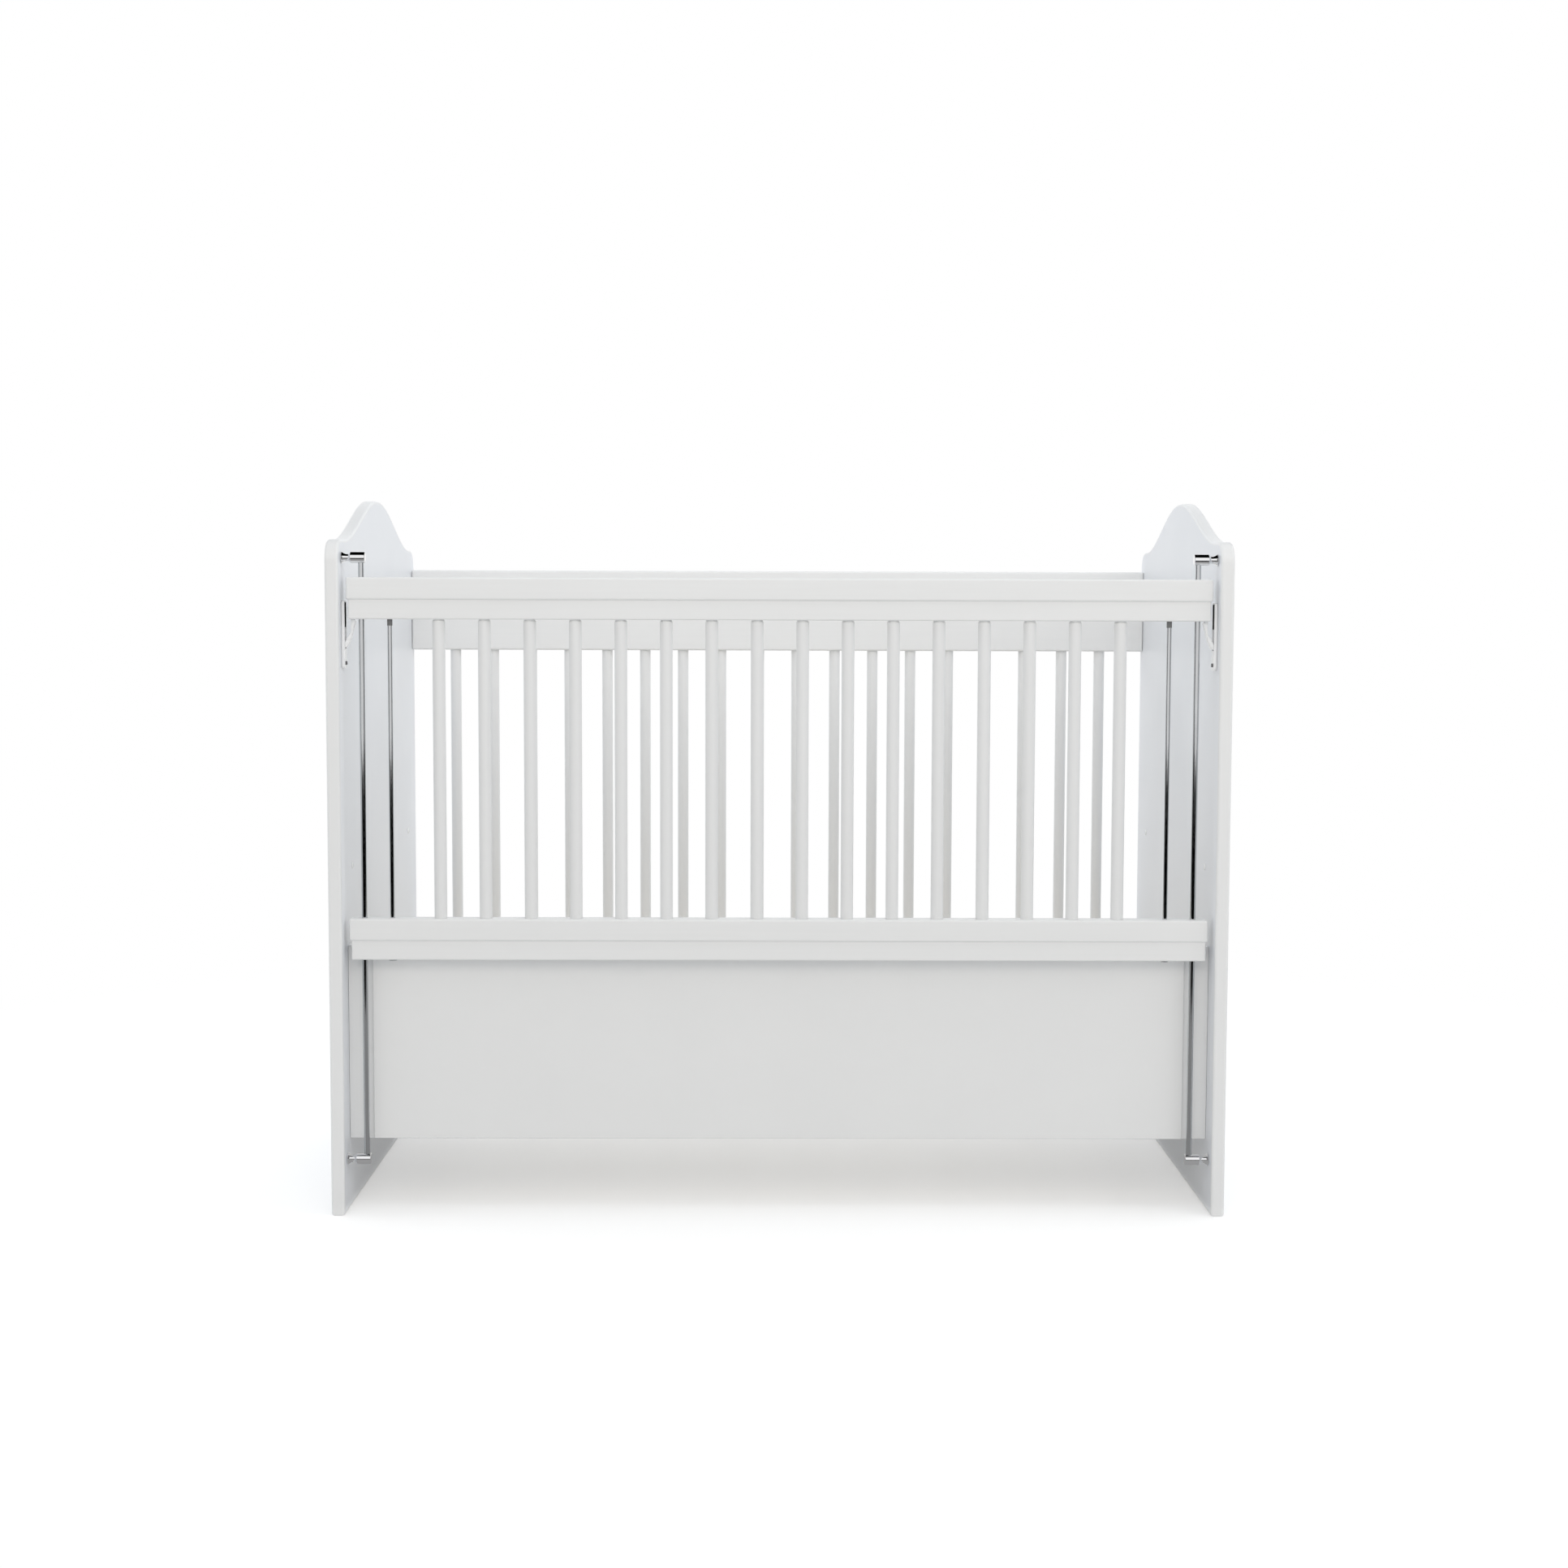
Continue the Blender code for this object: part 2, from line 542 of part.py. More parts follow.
def tongue_outline(sign):
    """Returns a latch tongue's outline about its pivot, as (across, up)."""
    root = TONGUE_ROOT_SHARE * TONGUE_REACH
    points = [(root, -TONGUE_ROOT_DROP), (TONGUE_REACH_SHARES[0] * TONGUE_REACH, -TONGUE_ROOT_DROP)]
    for reach, length in zip(TONGUE_REACH_SHARES[1:], TONGUE_LENGTH_SHARES[1:]):
        points.append((reach * TONGUE_REACH, length * TONGUE_LENGTH))
    pivot = FIT_GAP + LATCH_THICKNESS / 2
    return [(-sign * (reach - pivot), up) for reach, up in points]


def add_latches(parent, tongue_parents, plastic):
    """Adds the two moulded latches: a plate with a window, and the sprung tongue that stands in it."""
    low = DROP_RAIL_FOOT - LATCH_BELOW_RAIL_FOOT
    high = DROP_RAIL_FOOT + LATCH_ABOVE_RAIL_FOOT
    half = LATCH_WIDTH / 2
    window = TONGUE_WIDTH / 2 + FIT_GAP
    window_low = TONGUE_PIVOT_Z - TONGUE_ROOT_DROP - WINDOW_BELOW_ROOT
    window_high = high - LATCH_RIM
    loops = [
        rounded_rectangle((-half, low), (half, high), LATCH_CORNER_RADIUS, CORNER_STEPS),
        [(-window, window_low), (window, window_low), (window, window_high), (-window, window_high)],
        circle_points(LATCH_SCREW_HOLE_RADIUS, BOLT_SIDES, up=low + LATCH_SCREW_FROM_FOOT),
    ]
    for side, sign in SIDES.items():
        mesh = outline_mesh(f"latch_plate_{side}", loops, LATCH_THICKNESS)
        place = (sign * TONGUE_PIVOT_X, LATCH_Y, 0)
        add_piece(f"latch_plate_{side}", mesh, plastic, parent, place, (pi / 2, 0, pi / 2))
        mesh = outline_mesh(f"latch_tongue_{side}", [tongue_outline(sign)], TONGUE_WIDTH)
        add_piece(f"latch_tongue_{side}", mesh, plastic, tongue_parents[side], (0, 0, 0), (pi / 2, 0, 0))


def main():
    """Builds the crib."""
    start_scene()
    lacquer = make_material("white_lacquered_wood", (0.82, 0.82, 0.80), 0.35)
    chrome = make_material("chromed_steel", (0.78, 0.78, 0.80), 0.12, 1.0)
    plastic = make_material("white_plastic", (0.86, 0.86, 0.86), 0.3)
    pine = make_material("natural_wood", (0.72, 0.55, 0.35), 0.6)
    zinc = make_material("zinc_plated_steel", (0.62, 0.63, 0.64), 0.35, 1.0)
    frame = add_empty("frame", (0, 0, 0))
    drop_side = add_empty("drop_side", (0, 0, 0), frame)
    pivots = {}
    for side, sign in SIDES.items():
        place = (sign * TONGUE_PIVOT_X, LATCH_Y, TONGUE_PIVOT_Z)
        pivots[side] = add_empty(f"tongue_pivot_{side}", place, frame)
    add_end_boards(frame, lacquer)
    add_back_side(frame, lacquer)
    add_lower_panel(frame, lacquer)
    add_mattress_base(frame, pine, zinc)
    add_guide_rods(frame, chrome)
    add_latches(frame, pivots, plastic)
    add_drop_side(drop_side, lacquer, chrome)
    travel = DROP_BOTTOM_TOP_HEIGHT - RAIL_HEIGHT - LOWER_BRACKET_HEIGHT - BRACKET_BODY_RADIUS - FIT_GAP
    print(f"drop side travel {travel:.4f} m, tongue pivot x {TONGUE_PIVOT_X:.4f} y {LATCH_Y:.4f} z {TONGUE_PIVOT_Z:.4f}")


main()
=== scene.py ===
"""A white crib with bell-topped end boards, a fixed barred back and a drop side on guide rods.

Metres, +Z up, and the drop side faces -Y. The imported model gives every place: each piece here takes
its size from the solid that it stands for.
"""

from __future__ import annotations

import logging
import math
from collections.abc import Iterable, Sequence
from dataclasses import dataclass
from enum import Enum

import bmesh
import bpy
from mathutils import Matrix, Vector

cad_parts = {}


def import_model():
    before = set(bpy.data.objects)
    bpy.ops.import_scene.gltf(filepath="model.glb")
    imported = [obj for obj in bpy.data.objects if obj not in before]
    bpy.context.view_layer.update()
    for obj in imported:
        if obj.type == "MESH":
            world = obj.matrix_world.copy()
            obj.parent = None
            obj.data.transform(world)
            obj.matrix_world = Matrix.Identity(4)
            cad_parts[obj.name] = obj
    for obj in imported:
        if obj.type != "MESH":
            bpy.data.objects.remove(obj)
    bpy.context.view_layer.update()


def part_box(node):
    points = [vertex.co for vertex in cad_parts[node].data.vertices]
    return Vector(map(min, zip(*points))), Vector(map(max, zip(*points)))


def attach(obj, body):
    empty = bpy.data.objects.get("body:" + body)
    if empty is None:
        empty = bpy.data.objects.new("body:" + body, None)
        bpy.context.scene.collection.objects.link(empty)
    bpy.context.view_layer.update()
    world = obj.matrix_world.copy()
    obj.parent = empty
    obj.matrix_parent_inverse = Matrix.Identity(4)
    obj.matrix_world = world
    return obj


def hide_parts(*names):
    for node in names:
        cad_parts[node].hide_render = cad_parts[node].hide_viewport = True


LOG = logging.getLogger("crib")
WELD = 1e-6
LATE_WOOD_POWER = 2.6
UP = Vector((0.0, 0.0, 1.0))
WHITE_LIGHT = (1.0, 1.0, 1.0, 1.0)
SHARP_ANGLE = math.radians(32.0)
SLAB_FACE_SHARE = 0.9
ACROSS_SHARE = 0.99

Pair = tuple[float, float]
Triple = tuple[float, float, float]
Solid = bmesh.types.BMesh
Socket = bpy.types.NodeSocket
Tree = bpy.types.NodeTree
Node = bpy.types.Node


class Body(Enum):
    """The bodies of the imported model."""

    FRAME = "frame"
    DROP_SIDE = "drop_side"
    TONGUE_LEFT = "tongue_left"
    TONGUE_RIGHT = "tongue_right"


class Slot(Enum):
    """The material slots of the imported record."""

    LACQUER = "white_lacquered_wood"
    WOOD = "natural_wood"
    STEEL = "chromed_steel"
    PLASTIC = "white_plastic"
    ZINC = "zinc_plated_steel"


class Side(Enum):
    """The two ends of the crib, by the sign of X."""

    LEFT = -1
    RIGHT = 1

    @property
    def word(self) -> str:
        """The side's name in a piece's or a node's name."""
        return self.name.lower()

    @property
    def tongue(self) -> Body:
        """The body of this side's catch tongue."""
        return Body.TONGUE_LEFT if self is Side.LEFT else Body.TONGUE_RIGHT

    @property
    def inward(self) -> Vector:
        """The way from this end to the crib's middle."""
        return Vector((-self.value, 0, 0))

    def reach(self, node: str) -> Pair:
        """Returns where a CAD node starts along X, seen from this end of the crib, and where it ends."""
        low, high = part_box(node)
        return (low.x, high.x) if self is Side.LEFT else (high.x, low.x)


class Work(Enum):
    """What one solid does to another."""

    CUT = "DIFFERENCE"
    JOIN = "UNION"


class Run(Enum):
    """The way that the grain runs, as pattern repeats a metre along X, Y and Z."""

    LENGTHWISE = (5.0, 260.0, 260.0)
    CROSSWISE = (260.0, 5.0, 260.0)
    UPRIGHT = (260.0, 260.0, 5.0)
    BOARD = (9.0, 9.0, 9.0)

    def finer(self, times: float) -> Triple:
        """Returns the repeats of a pattern that is some times as fine."""
        return tuple(times * repeat for repeat in self.value)


# Shader nodes


class Graph:
    """Adds, sets and links the nodes of one tree."""

    def __init__(self, tree: Tree) -> None:
        """Takes the tree to work on."""
        self.tree = tree

    def add(self, kind: str, **settings: object) -> Node:
        """Adds a node.

        Args:
            kind: The node's type, without its ShaderNode prefix.
            settings: Attributes by name; a key in capitals is an input socket's, with _ for a space.

        Returns:
            The new node.
        """
        node = self.tree.nodes.new(f"ShaderNode{kind}")
        for key, value in settings.items():
            if key[0].isupper():
                node.inputs[key.replace("_", " ")].default_value = value
            else:
                setattr(node, key, value)
        return node

    def link(self, source: Socket, target: Socket) -> None:
        """Links two sockets."""
        self.tree.links.new(source, target)

    def chain(self, source: Socket, kind: str, socket: str, **settings: object) -> Node:
        """Adds a node and feeds it.

        Args:
            source: The output to feed it with.
            kind: The node's type, without its prefix.
            socket: The input that is fed.
            settings: As in add().

        Returns:
            The new node.
        """
        node = self.add(kind, **settings)
        self.link(source, node.inputs[socket])
        return node

    def maths(self, source: Socket, operation: str, other: float | Socket) -> Socket:
        """Adds a Math node.

        Args:
            source: Its first value.
            operation: What it works out.
            other: Its second value, a number or an output.

        Returns:
            Its output.
        """
        node = self.chain(source, "Math", "Value", operation=operation)
        if isinstance(other, Socket):
            self.link(other, node.inputs[1])
        else:
            node.inputs[1].default_value = other
        return node.outputs["Value"]

    def weigh(self, first: Socket, second: Socket, share: float) -> Socket:
        """Adds up two values by their shares.

        Args:
            first: The value that has the given share.
            second: The value that has the rest.
            share: The first value's share.

        Returns:
            The weighted mean.
        """
        both = self.chain(first, "Math", "Value", operation="MULTIPLY_ADD")
        both.inputs[1].default_value = share
        self.link(self.maths(second, "MULTIPLY", 1.0 - share), both.inputs[2])
        return both.outputs["Value"]

    def mix(self, share: Socket, first: Node, second: Node) -> Node:
        """Mixes two shaders.

        Args:
            share: The second shader's share.
            first: The first shader.
            second: The second shader.

        Returns:
            The node that mixes them.
        """
        both = self.chain(share, "MixShader", "Fac")
        for shader, socket in zip((first, second), both.inputs[1:]):
            self.link(shader.outputs[0], socket)
        return both

    def surface(self, shader: Node, output: str = "Material Output") -> None:
        """Leads a shader to the surface."""
        self.link(shader.outputs[0], self.tree.nodes[output].inputs["Surface"])


def new_look(name: str) -> tuple[bpy.types.Material, Graph]:
    """Makes a material.

    Args:
        name: Its name.

    Returns:
        The material and its graph.
    """
    material = bpy.data.materials.new(name)
    material.use_nodes = True
    return material, Graph(material.node_tree)


GroupParts = tuple[Graph, Node, Node]


def new_group(name: str, inputs: dict[str, tuple[str, object]], outputs: Sequence[str]) -> GroupParts:
    """Makes an empty shader group.

    Args:
        name: The group's name.
        inputs: Socket type and start value by name.
        outputs: The names of its values.

    Returns:
        The group's graph, its input node and its output node.
    """
    group = bpy.data.node_groups.new(name, "ShaderNodeTree")
    for label, (kind, value) in inputs.items():
        socket = group.interface.new_socket(label, in_out="INPUT", socket_type=f"NodeSocket{kind}")
        socket.default_value = value
    for label in outputs:
        group.interface.new_socket(label, in_out="OUTPUT", socket_type="NodeSocketFloat")
    return Graph(group), group.nodes.new("NodeGroupInput"), group.nodes.new("NodeGroupOutput")


def drawn_out(graph: Graph, run: Socket) -> Socket:
    """Returns Object coordinates times a run, the repeats a metre along X, Y and Z."""
    place = graph.add("TexCoord").outputs["Object"]
    drawn = graph.chain(place, "VectorMath", "Vector", operation="MULTIPLY")
    graph.link(run, drawn.inputs[1])
    return drawn.outputs["Vector"]


def streaks_group() -> Tree:
    """Makes the streaks that wood grain and drawn steel share.

    Returns:
        A group with the streaks as a Mask and a Height, drawn out by Run.
    """
    inputs = {"Run": ("Vector", Run.BOARD.value), "Detail": ("Float", 3.0), "Contrast": ("Float", 0.5)}
    graph, given, out = new_group("Streaks", inputs, ("Mask", "Height"))
    drawn = drawn_out(graph, given.outputs["Run"])
    streaks = graph.chain(drawn, "TexNoise", "Vector", Scale=1.0, Roughness=0.55)
    graph.link(given.outputs["Detail"], streaks.inputs["Detail"])
    low = graph.maths(given.outputs["Contrast"], "MULTIPLY", 0.5)
    high = graph.add("Math", operation="SUBTRACT")
    high.inputs[0].default_value = 1.0
    graph.link(low, high.inputs[1])
    ramp = graph.chain(streaks.outputs["Fac"], "MapRange", "Value", interpolation_type="SMOOTHSTEP")
    graph.link(low, ramp.inputs["From Min"])
    graph.link(high.outputs["Value"], ramp.inputs["From Max"])
    graph.link(ramp.outputs["Result"], out.inputs["Mask"])
    graph.link(streaks.outputs["Fac"], out.inputs["Height"])
    return graph.tree


def ripple_group() -> Tree:
    """Makes the fine skin of sprayed lacquer or moulded plastic.

    Returns:
        A group with a Height of the given cells a metre, and a slow Tone over the piece.
    """
    graph, given, out = new_group("Ripple", {"Cells": ("Float", 260.0)}, ("Height", "Tone"))
    place = graph.add("TexCoord").outputs["Object"]
    skin = graph.chain(place, "TexNoise", "Vector", Detail=2.0, Roughness=0.4)
    graph.link(given.outputs["Cells"], skin.inputs["Scale"])
    tone = graph.chain(place, "TexNoise", "Vector", Scale=4.0, Detail=2.0, Roughness=0.5)
    graph.link(skin.outputs["Fac"], out.inputs["Height"])
    graph.link(tone.outputs["Fac"], out.inputs["Tone"])
    return graph.tree


def rings_group() -> Tree:
    """Makes the growth rings of softwood cut along its length.

    Returns:
        A group with a Mask that is 1 in the dark late wood.
    """
    inputs = {"Run": ("Vector", (30.0, 1.5, 30.0)), "Wander": ("Float", 5.0)}
    graph, given, out = new_group("Rings", inputs, ("Mask",))
    kind = {"wave_type": "BANDS", "bands_direction": "DIAGONAL", "wave_profile": "SAW"}
    place = drawn_out(graph, given.outputs["Run"])
    wave = graph.chain(place, "TexWave", "Vector", **kind, Scale=0.9, Detail=2.0, Detail_Scale=0.6)
    graph.link(given.outputs["Wander"], wave.inputs["Distortion"])
    late_wood = graph.maths(wave.outputs["Fac"], "POWER", LATE_WOOD_POWER)
    graph.link(late_wood, out.inputs["Mask"])
    return graph.tree


class Patterns:
    """The shader groups, each made once and placed in every material that uses it."""

    makers = {"Streaks": streaks_group, "Ripple": ripple_group, "Rings": rings_group}

    @classmethod
    def place(cls, graph: Graph, name: str, **values: object) -> Node:
        """Places a group in a material.

        Args:
            graph: The material's graph.
            name: The group's name.
            values: The group's own values by socket.

        Returns:
            The group's node.
        """
        group = bpy.data.node_groups.get(name) or cls.makers[name]()
        return graph.add("Group", node_tree=group, **values)


# Finishes


@dataclass(frozen=True)
class Finish:
    """What every finish has: a name, a slot and a colour.

    Attributes:
        name: The material's name.
        slot: The record's slot that it belongs to.
        colour: Its main colour.
        second: The colour that its pattern leads to.
        roughness: Its lowest and highest roughness.
    """

    name: str
    slot: Slot
    colour: Triple
    second: Triple
    roughness: Pair

    def material(self) -> bpy.types.Material:
        """Returns the finish's material, made at its first use."""
        made = bpy.data.materials.get(self.name)
        if made is None:
            made, graph = new_look(self.name)
            made.diffuse_color = (*self.colour, 1.0)
            self.fill(graph, made.node_tree.nodes["Principled BSDF"])
        return made

    def fill(self, graph: Graph, shader: Node) -> None:
        """Feeds the shader; each kind of finish has its own."""
        raise NotImplementedError

    def blend(self, graph: Graph, mask: Socket, shader: Node) -> None:
        """Leads the colour and the roughness between their two values by a mask.

        Args:
            graph: The material's graph.
            mask: 0 for the main colour and the lowest roughness, 1 for the others.
            shader: The shader to feed.
        """
        mix = graph.chain(mask, "Mix", "Factor", data_type="RGBA", blend_type="MIX")
        for socket, colour in zip([s for s in mix.inputs if s.type == "RGBA"], (self.colour, self.second)):
            socket.default_value = (*colour, 1.0)
        graph.link(next(s for s in mix.outputs if s.type == "RGBA"), shader.inputs["Base Color"])
        rough = graph.chain(mask, "MapRange", "Value", To_Min=self.roughness[0], To_Max=self.roughness[1])
        graph.link(rough.outputs["Result"], shader.inputs["Roughness"])

    @staticmethod
    def emboss(graph: Graph, shader: Node, *layers: tuple[Socket, float]) -> None:
        """Adds bump layers.

        Args:
            graph: The material's graph.
            shader: The shader to feed.
            layers: A height and its depth in metres for each layer.
        """
        below = None
        for height, depth in layers:
            bump = graph.chain(height, "Bump", "Height", Distance=depth, Strength=1.0)
            if below is not None:
                graph.link(below, bump.inputs["Normal"])
            below = bump.outputs["Normal"]
        graph.link(below, shader.inputs["Normal"])


@dataclass(frozen=True)
class Lacquer(Finish):
    """Satin lacquer over wood, whose grain shows faintly through it.

    Attributes:
        run: The way that the grain runs.
        grain_depth: How deep the grain shows, in metres.
        skin_depth: How deep the spray's ripple is, in metres.
        skin_cells: The ripple's cells a metre.
        grain_share: The grain's share of the colour's change.
    """

    run: Run = Run.BOARD
    grain_depth: float = 0.000012
    skin_depth: float = 0.000018
    skin_cells: float = 240.0
    grain_share: float = 0.35

    def fill(self, graph: Graph, shader: Node) -> None:
        """Feeds the shader with the grain and the ripple."""
        grain = Patterns.place(graph, "Streaks", Run=self.run.value, Detail=3.0, Contrast=0.6)
        skin = Patterns.place(graph, "Ripple", Cells=self.skin_cells)
        self.blend(graph, graph.weigh(grain.outputs["Mask"], skin.outputs["Tone"], self.grain_share), shader)
        layers = (grain.outputs["Height"], self.grain_depth), (skin.outputs["Height"], self.skin_depth)
        self.emboss(graph, shader, *layers)


@dataclass(frozen=True)
class Steel(Finish):
    """Bright metal, plated or polished, with faint marks of drawing along it.

    Attributes:
        run: The way that the marks run.
        mark_depth: How deep they are, in metres.
        fineness: How many times as fine as wood grain they are.
    """

    run: Run = Run.UPRIGHT
    mark_depth: float = 0.000002
    fineness: float = 4.0

    def fill(self, graph: Graph, shader: Node) -> None:
        """Feeds the shader with the marks."""
        shader.inputs["Metallic"].default_value = 1.0
        marks = Patterns.place(graph, "Streaks", Run=self.run.finer(self.fineness), Detail=4.0)
        self.blend(graph, marks.outputs["Mask"], shader)
        self.emboss(graph, shader, (marks.outputs["Height"], self.mark_depth))


@dataclass(frozen=True)
class Plastic(Finish):
    """Moulded plastic with a fine skin.

    Attributes:
        skin_depth: How deep the skin is, in metres.
        skin_cells: Its cells a metre.
    """

    skin_depth: float = 0.00001
    skin_cells: float = 900.0

    def fill(self, graph: Graph, shader: Node) -> None:
        """Feeds the shader with the skin."""
        skin = Patterns.place(graph, "Ripple", Cells=self.skin_cells)
        self.blend(graph, skin.outputs["Tone"], shader)
        self.emboss(graph, shader, (skin.outputs["Height"], self.skin_depth))


@dataclass(frozen=True)
class Pine(Finish):
    """Planed softwood with its growth rings and fine grain.

    Attributes:
        run: The way that the grain runs.
        ring_run: The same for the rings, in repeats a metre.
        ring_share: The rings' share of the colour's change.
        fineness: How many times as fine as under lacquer the grain is.
        grain_depth: How deep it is, in metres.
    """

    run: Run = Run.CROSSWISE
    ring_run: Triple = (70.0, 2.5, 70.0)
    ring_share: float = 0.7
    fineness: float = 3.0
    grain_depth: float = 0.00006

    def fill(self, graph: Graph, shader: Node) -> None:
        """Feeds the shader with the rings and the grain."""
        rings = Patterns.place(graph, "Rings", Run=self.ring_run, Wander=4.0)
        grain = Patterns.place(graph, "Streaks", Run=self.run.finer(self.fineness), Detail=5.0)
        self.blend(graph, graph.weigh(rings.outputs["Mask"], grain.outputs["Mask"], self.ring_share), shader)
        self.emboss(graph, shader, (grain.outputs["Height"], self.grain_depth))


WHITE, WHITE_SHADE = (0.856, 0.862, 0.863), (0.832, 0.838, 0.840)
# Cooler white for the end boards' faces that look along X: painted cool shade, the bluish tint that the light
# leaves on them.
PAINTED_COOL_FACE_WHITE, PAINTED_COOL_FACE_SECOND = (0.847, 0.866, 0.896), (0.825, 0.844, 0.874)
# A lighter copy of the white lacquer for the back rails: painted light that lifts them where the crib's other
# parts shade them.
BACK_RAIL_LIT_WHITE, BACK_RAIL_LIT_SECOND = (0.902, 0.906, 0.906), (0.878, 0.882, 0.883)
# A darker copy of the white lacquer for the drop side's bars: painted shade.
FRONT_BAR_SHADED_WHITE, FRONT_BAR_SHADED_SECOND = (0.827, 0.833, 0.834), (0.804, 0.810, 0.812)
# A lighter copy of the white lacquer for the back bars and the panel's posts: painted light on these shaded
# parts.
BACK_BAR_LIT_WHITE, BACK_BAR_LIT_SECOND = (0.888, 0.894, 0.895), (0.864, 0.870, 0.872)
PINE_WARM, PINE_DARK = (0.81, 0.755, 0.655), (0.69, 0.595, 0.455)
SATIN = (0.30, 0.40)
PLANED = (0.45, 0.60)
BOARD_GRAIN = 0.000004
COARSE_MARKS = 0.00001

BOARD_LACQUER = Lacquer("lacquered board", Slot.LACQUER, WHITE, WHITE_SHADE, SATIN, Run.BOARD, BOARD_GRAIN)
PAINTED_COOL_FACE_LACQUER = Lacquer(
    "lacquered board face", Slot.LACQUER, PAINTED_COOL_FACE_WHITE, PAINTED_COOL_FACE_SECOND, SATIN, Run.BOARD, BOARD_GRAIN
)
RAIL_LACQUER = Lacquer("lacquered rail", Slot.LACQUER, WHITE, WHITE_SHADE, SATIN, Run.LENGTHWISE)
BACK_RAIL_LIT_LACQUER = Lacquer("lacquered back rail", Slot.LACQUER, BACK_RAIL_LIT_WHITE, BACK_RAIL_LIT_SECOND, SATIN, Run.LENGTHWISE)
FRONT_BAR_SHADED_LACQUER = Lacquer("lacquered bar", Slot.LACQUER, FRONT_BAR_SHADED_WHITE, FRONT_BAR_SHADED_SECOND, SATIN, Run.UPRIGHT)
BACK_BAR_LIT_LACQUER = Lacquer(
    "lacquered back bar", Slot.LACQUER, BACK_BAR_LIT_WHITE, BACK_BAR_LIT_SECOND, SATIN, Run.UPRIGHT
)
CHROME = Steel(
    "bright chrome", Slot.STEEL, (0.89, 0.89, 0.90), (0.83, 0.83, 0.84), (0.03, 0.08), Run.LENGTHWISE
)
ROD_STEEL = Steel("polished steel rod", Slot.STEEL, (0.60, 0.61, 0.62), (0.52, 0.53, 0.54), (0.05, 0.12))
ZINC = Steel(
    "zinc plate", Slot.ZINC, (0.72, 0.73, 0.74), (0.58, 0.59, 0.60), (0.20, 0.38), Run.BOARD, COARSE_MARKS
)
SCREW_STEEL = Steel(
    "dark screw steel",
    Slot.ZINC,
    (0.20, 0.20, 0.205),
    (0.15, 0.15, 0.155),
    (0.35, 0.50),
    Run.BOARD,
    COARSE_MARKS,
)
MOULDING = Plastic("white moulding", Slot.PLASTIC, (0.945, 0.952, 0.96), (0.92, 0.927, 0.935), (0.14, 0.22))
# Black for the catch pockets: painted shade inside the windows of the catch plates.
CATCH_WINDOW_SHADE = Plastic(
    "catch window painted shade", Slot.PLASTIC, (0.012, 0.012, 0.013), (0.02, 0.02, 0.02), (0.35, 0.5)
)
# Dark grey for the rings round the steel bars: painted shade under the top rail.
STEEL_BAR_SHADE_GREY = Plastic("steel bar joint shade", Slot.PLASTIC, (0.160, 0.160, 0.164), (0.20, 0.20, 0.20), (0.45, 0.6))
SLAT_PINE = Pine("pine slat", Slot.WOOD, PINE_WARM, PINE_DARK, PLANED)
RAIL_PINE = Pine("pine rail", Slot.WOOD, PINE_WARM, PINE_DARK, PLANED, Run.LENGTHWISE, (2.5, 70.0, 70.0))


# Solids


def box(low: Sequence[float], high: Sequence[float], rounding: float = 0.0) -> Solid:
    """Makes a box with rounded edges.

    Args:
        low: Its lowest corner.
        high: Its highest corner.
        rounding: The radius of its edges.

    Returns:
        The box.
    """
    build = bmesh.new()
    bmesh.ops.create_cube(build, size=1.0)
    low, high = Vector(low), Vector(high)
    bmesh.ops.scale(build, vec=high - low, verts=build.verts)
    bmesh.ops.translate(build, vec=(low + high) / 2, verts=build.verts)
    if rounding:
        round_edges(build, build.edges, rounding)
    return build


def round_edges(
    build: Solid, edges: Iterable[bmesh.types.BMEdge], radius: float, segments: int = 4
) -> None:
    """Rounds some edges of a solid.

    Args:
        build: The solid.
        edges: The edges.
        radius: The radius.
        segments: The steps round it.
    """
    bmesh.ops.bevel(
        build, geom=list(edges), offset=radius, segments=segments, profile=0.5, affect="EDGES", material=-1
    )


def slab(outline: Sequence[Vector], push: Vector, rounding: float = 0.0, segments: int = 4) -> Solid:
    """Gives a flat outline a thickness, and rounds the edges of its two faces.

    Args:
        outline: The outline's points.
        push: The thickness and its direction.
        rounding: The radius of the edges.
        segments: The steps of the rounding.

    Returns:
        The solid.
    """
    build = bmesh.new()
    face = build.faces.new([build.verts.new(point) for point in outline])
    made = bmesh.ops.extrude_face_region(build, geom=[face])["geom"]
    pushed = [item for item in made if isinstance(item, bmesh.types.BMVert)]
    bmesh.ops.translate(build, vec=push, verts=pushed)
    bmesh.ops.recalc_face_normals(build, faces=build.faces)
    if rounding:
        way = push.normalized()
        faces = [face for face in build.faces if abs(face.normal.dot(way)) > SLAB_FACE_SHARE]
        rims = {edge for face in faces for edge in face.edges}
        round_edges(build, rims, rounding, segments)
    return build


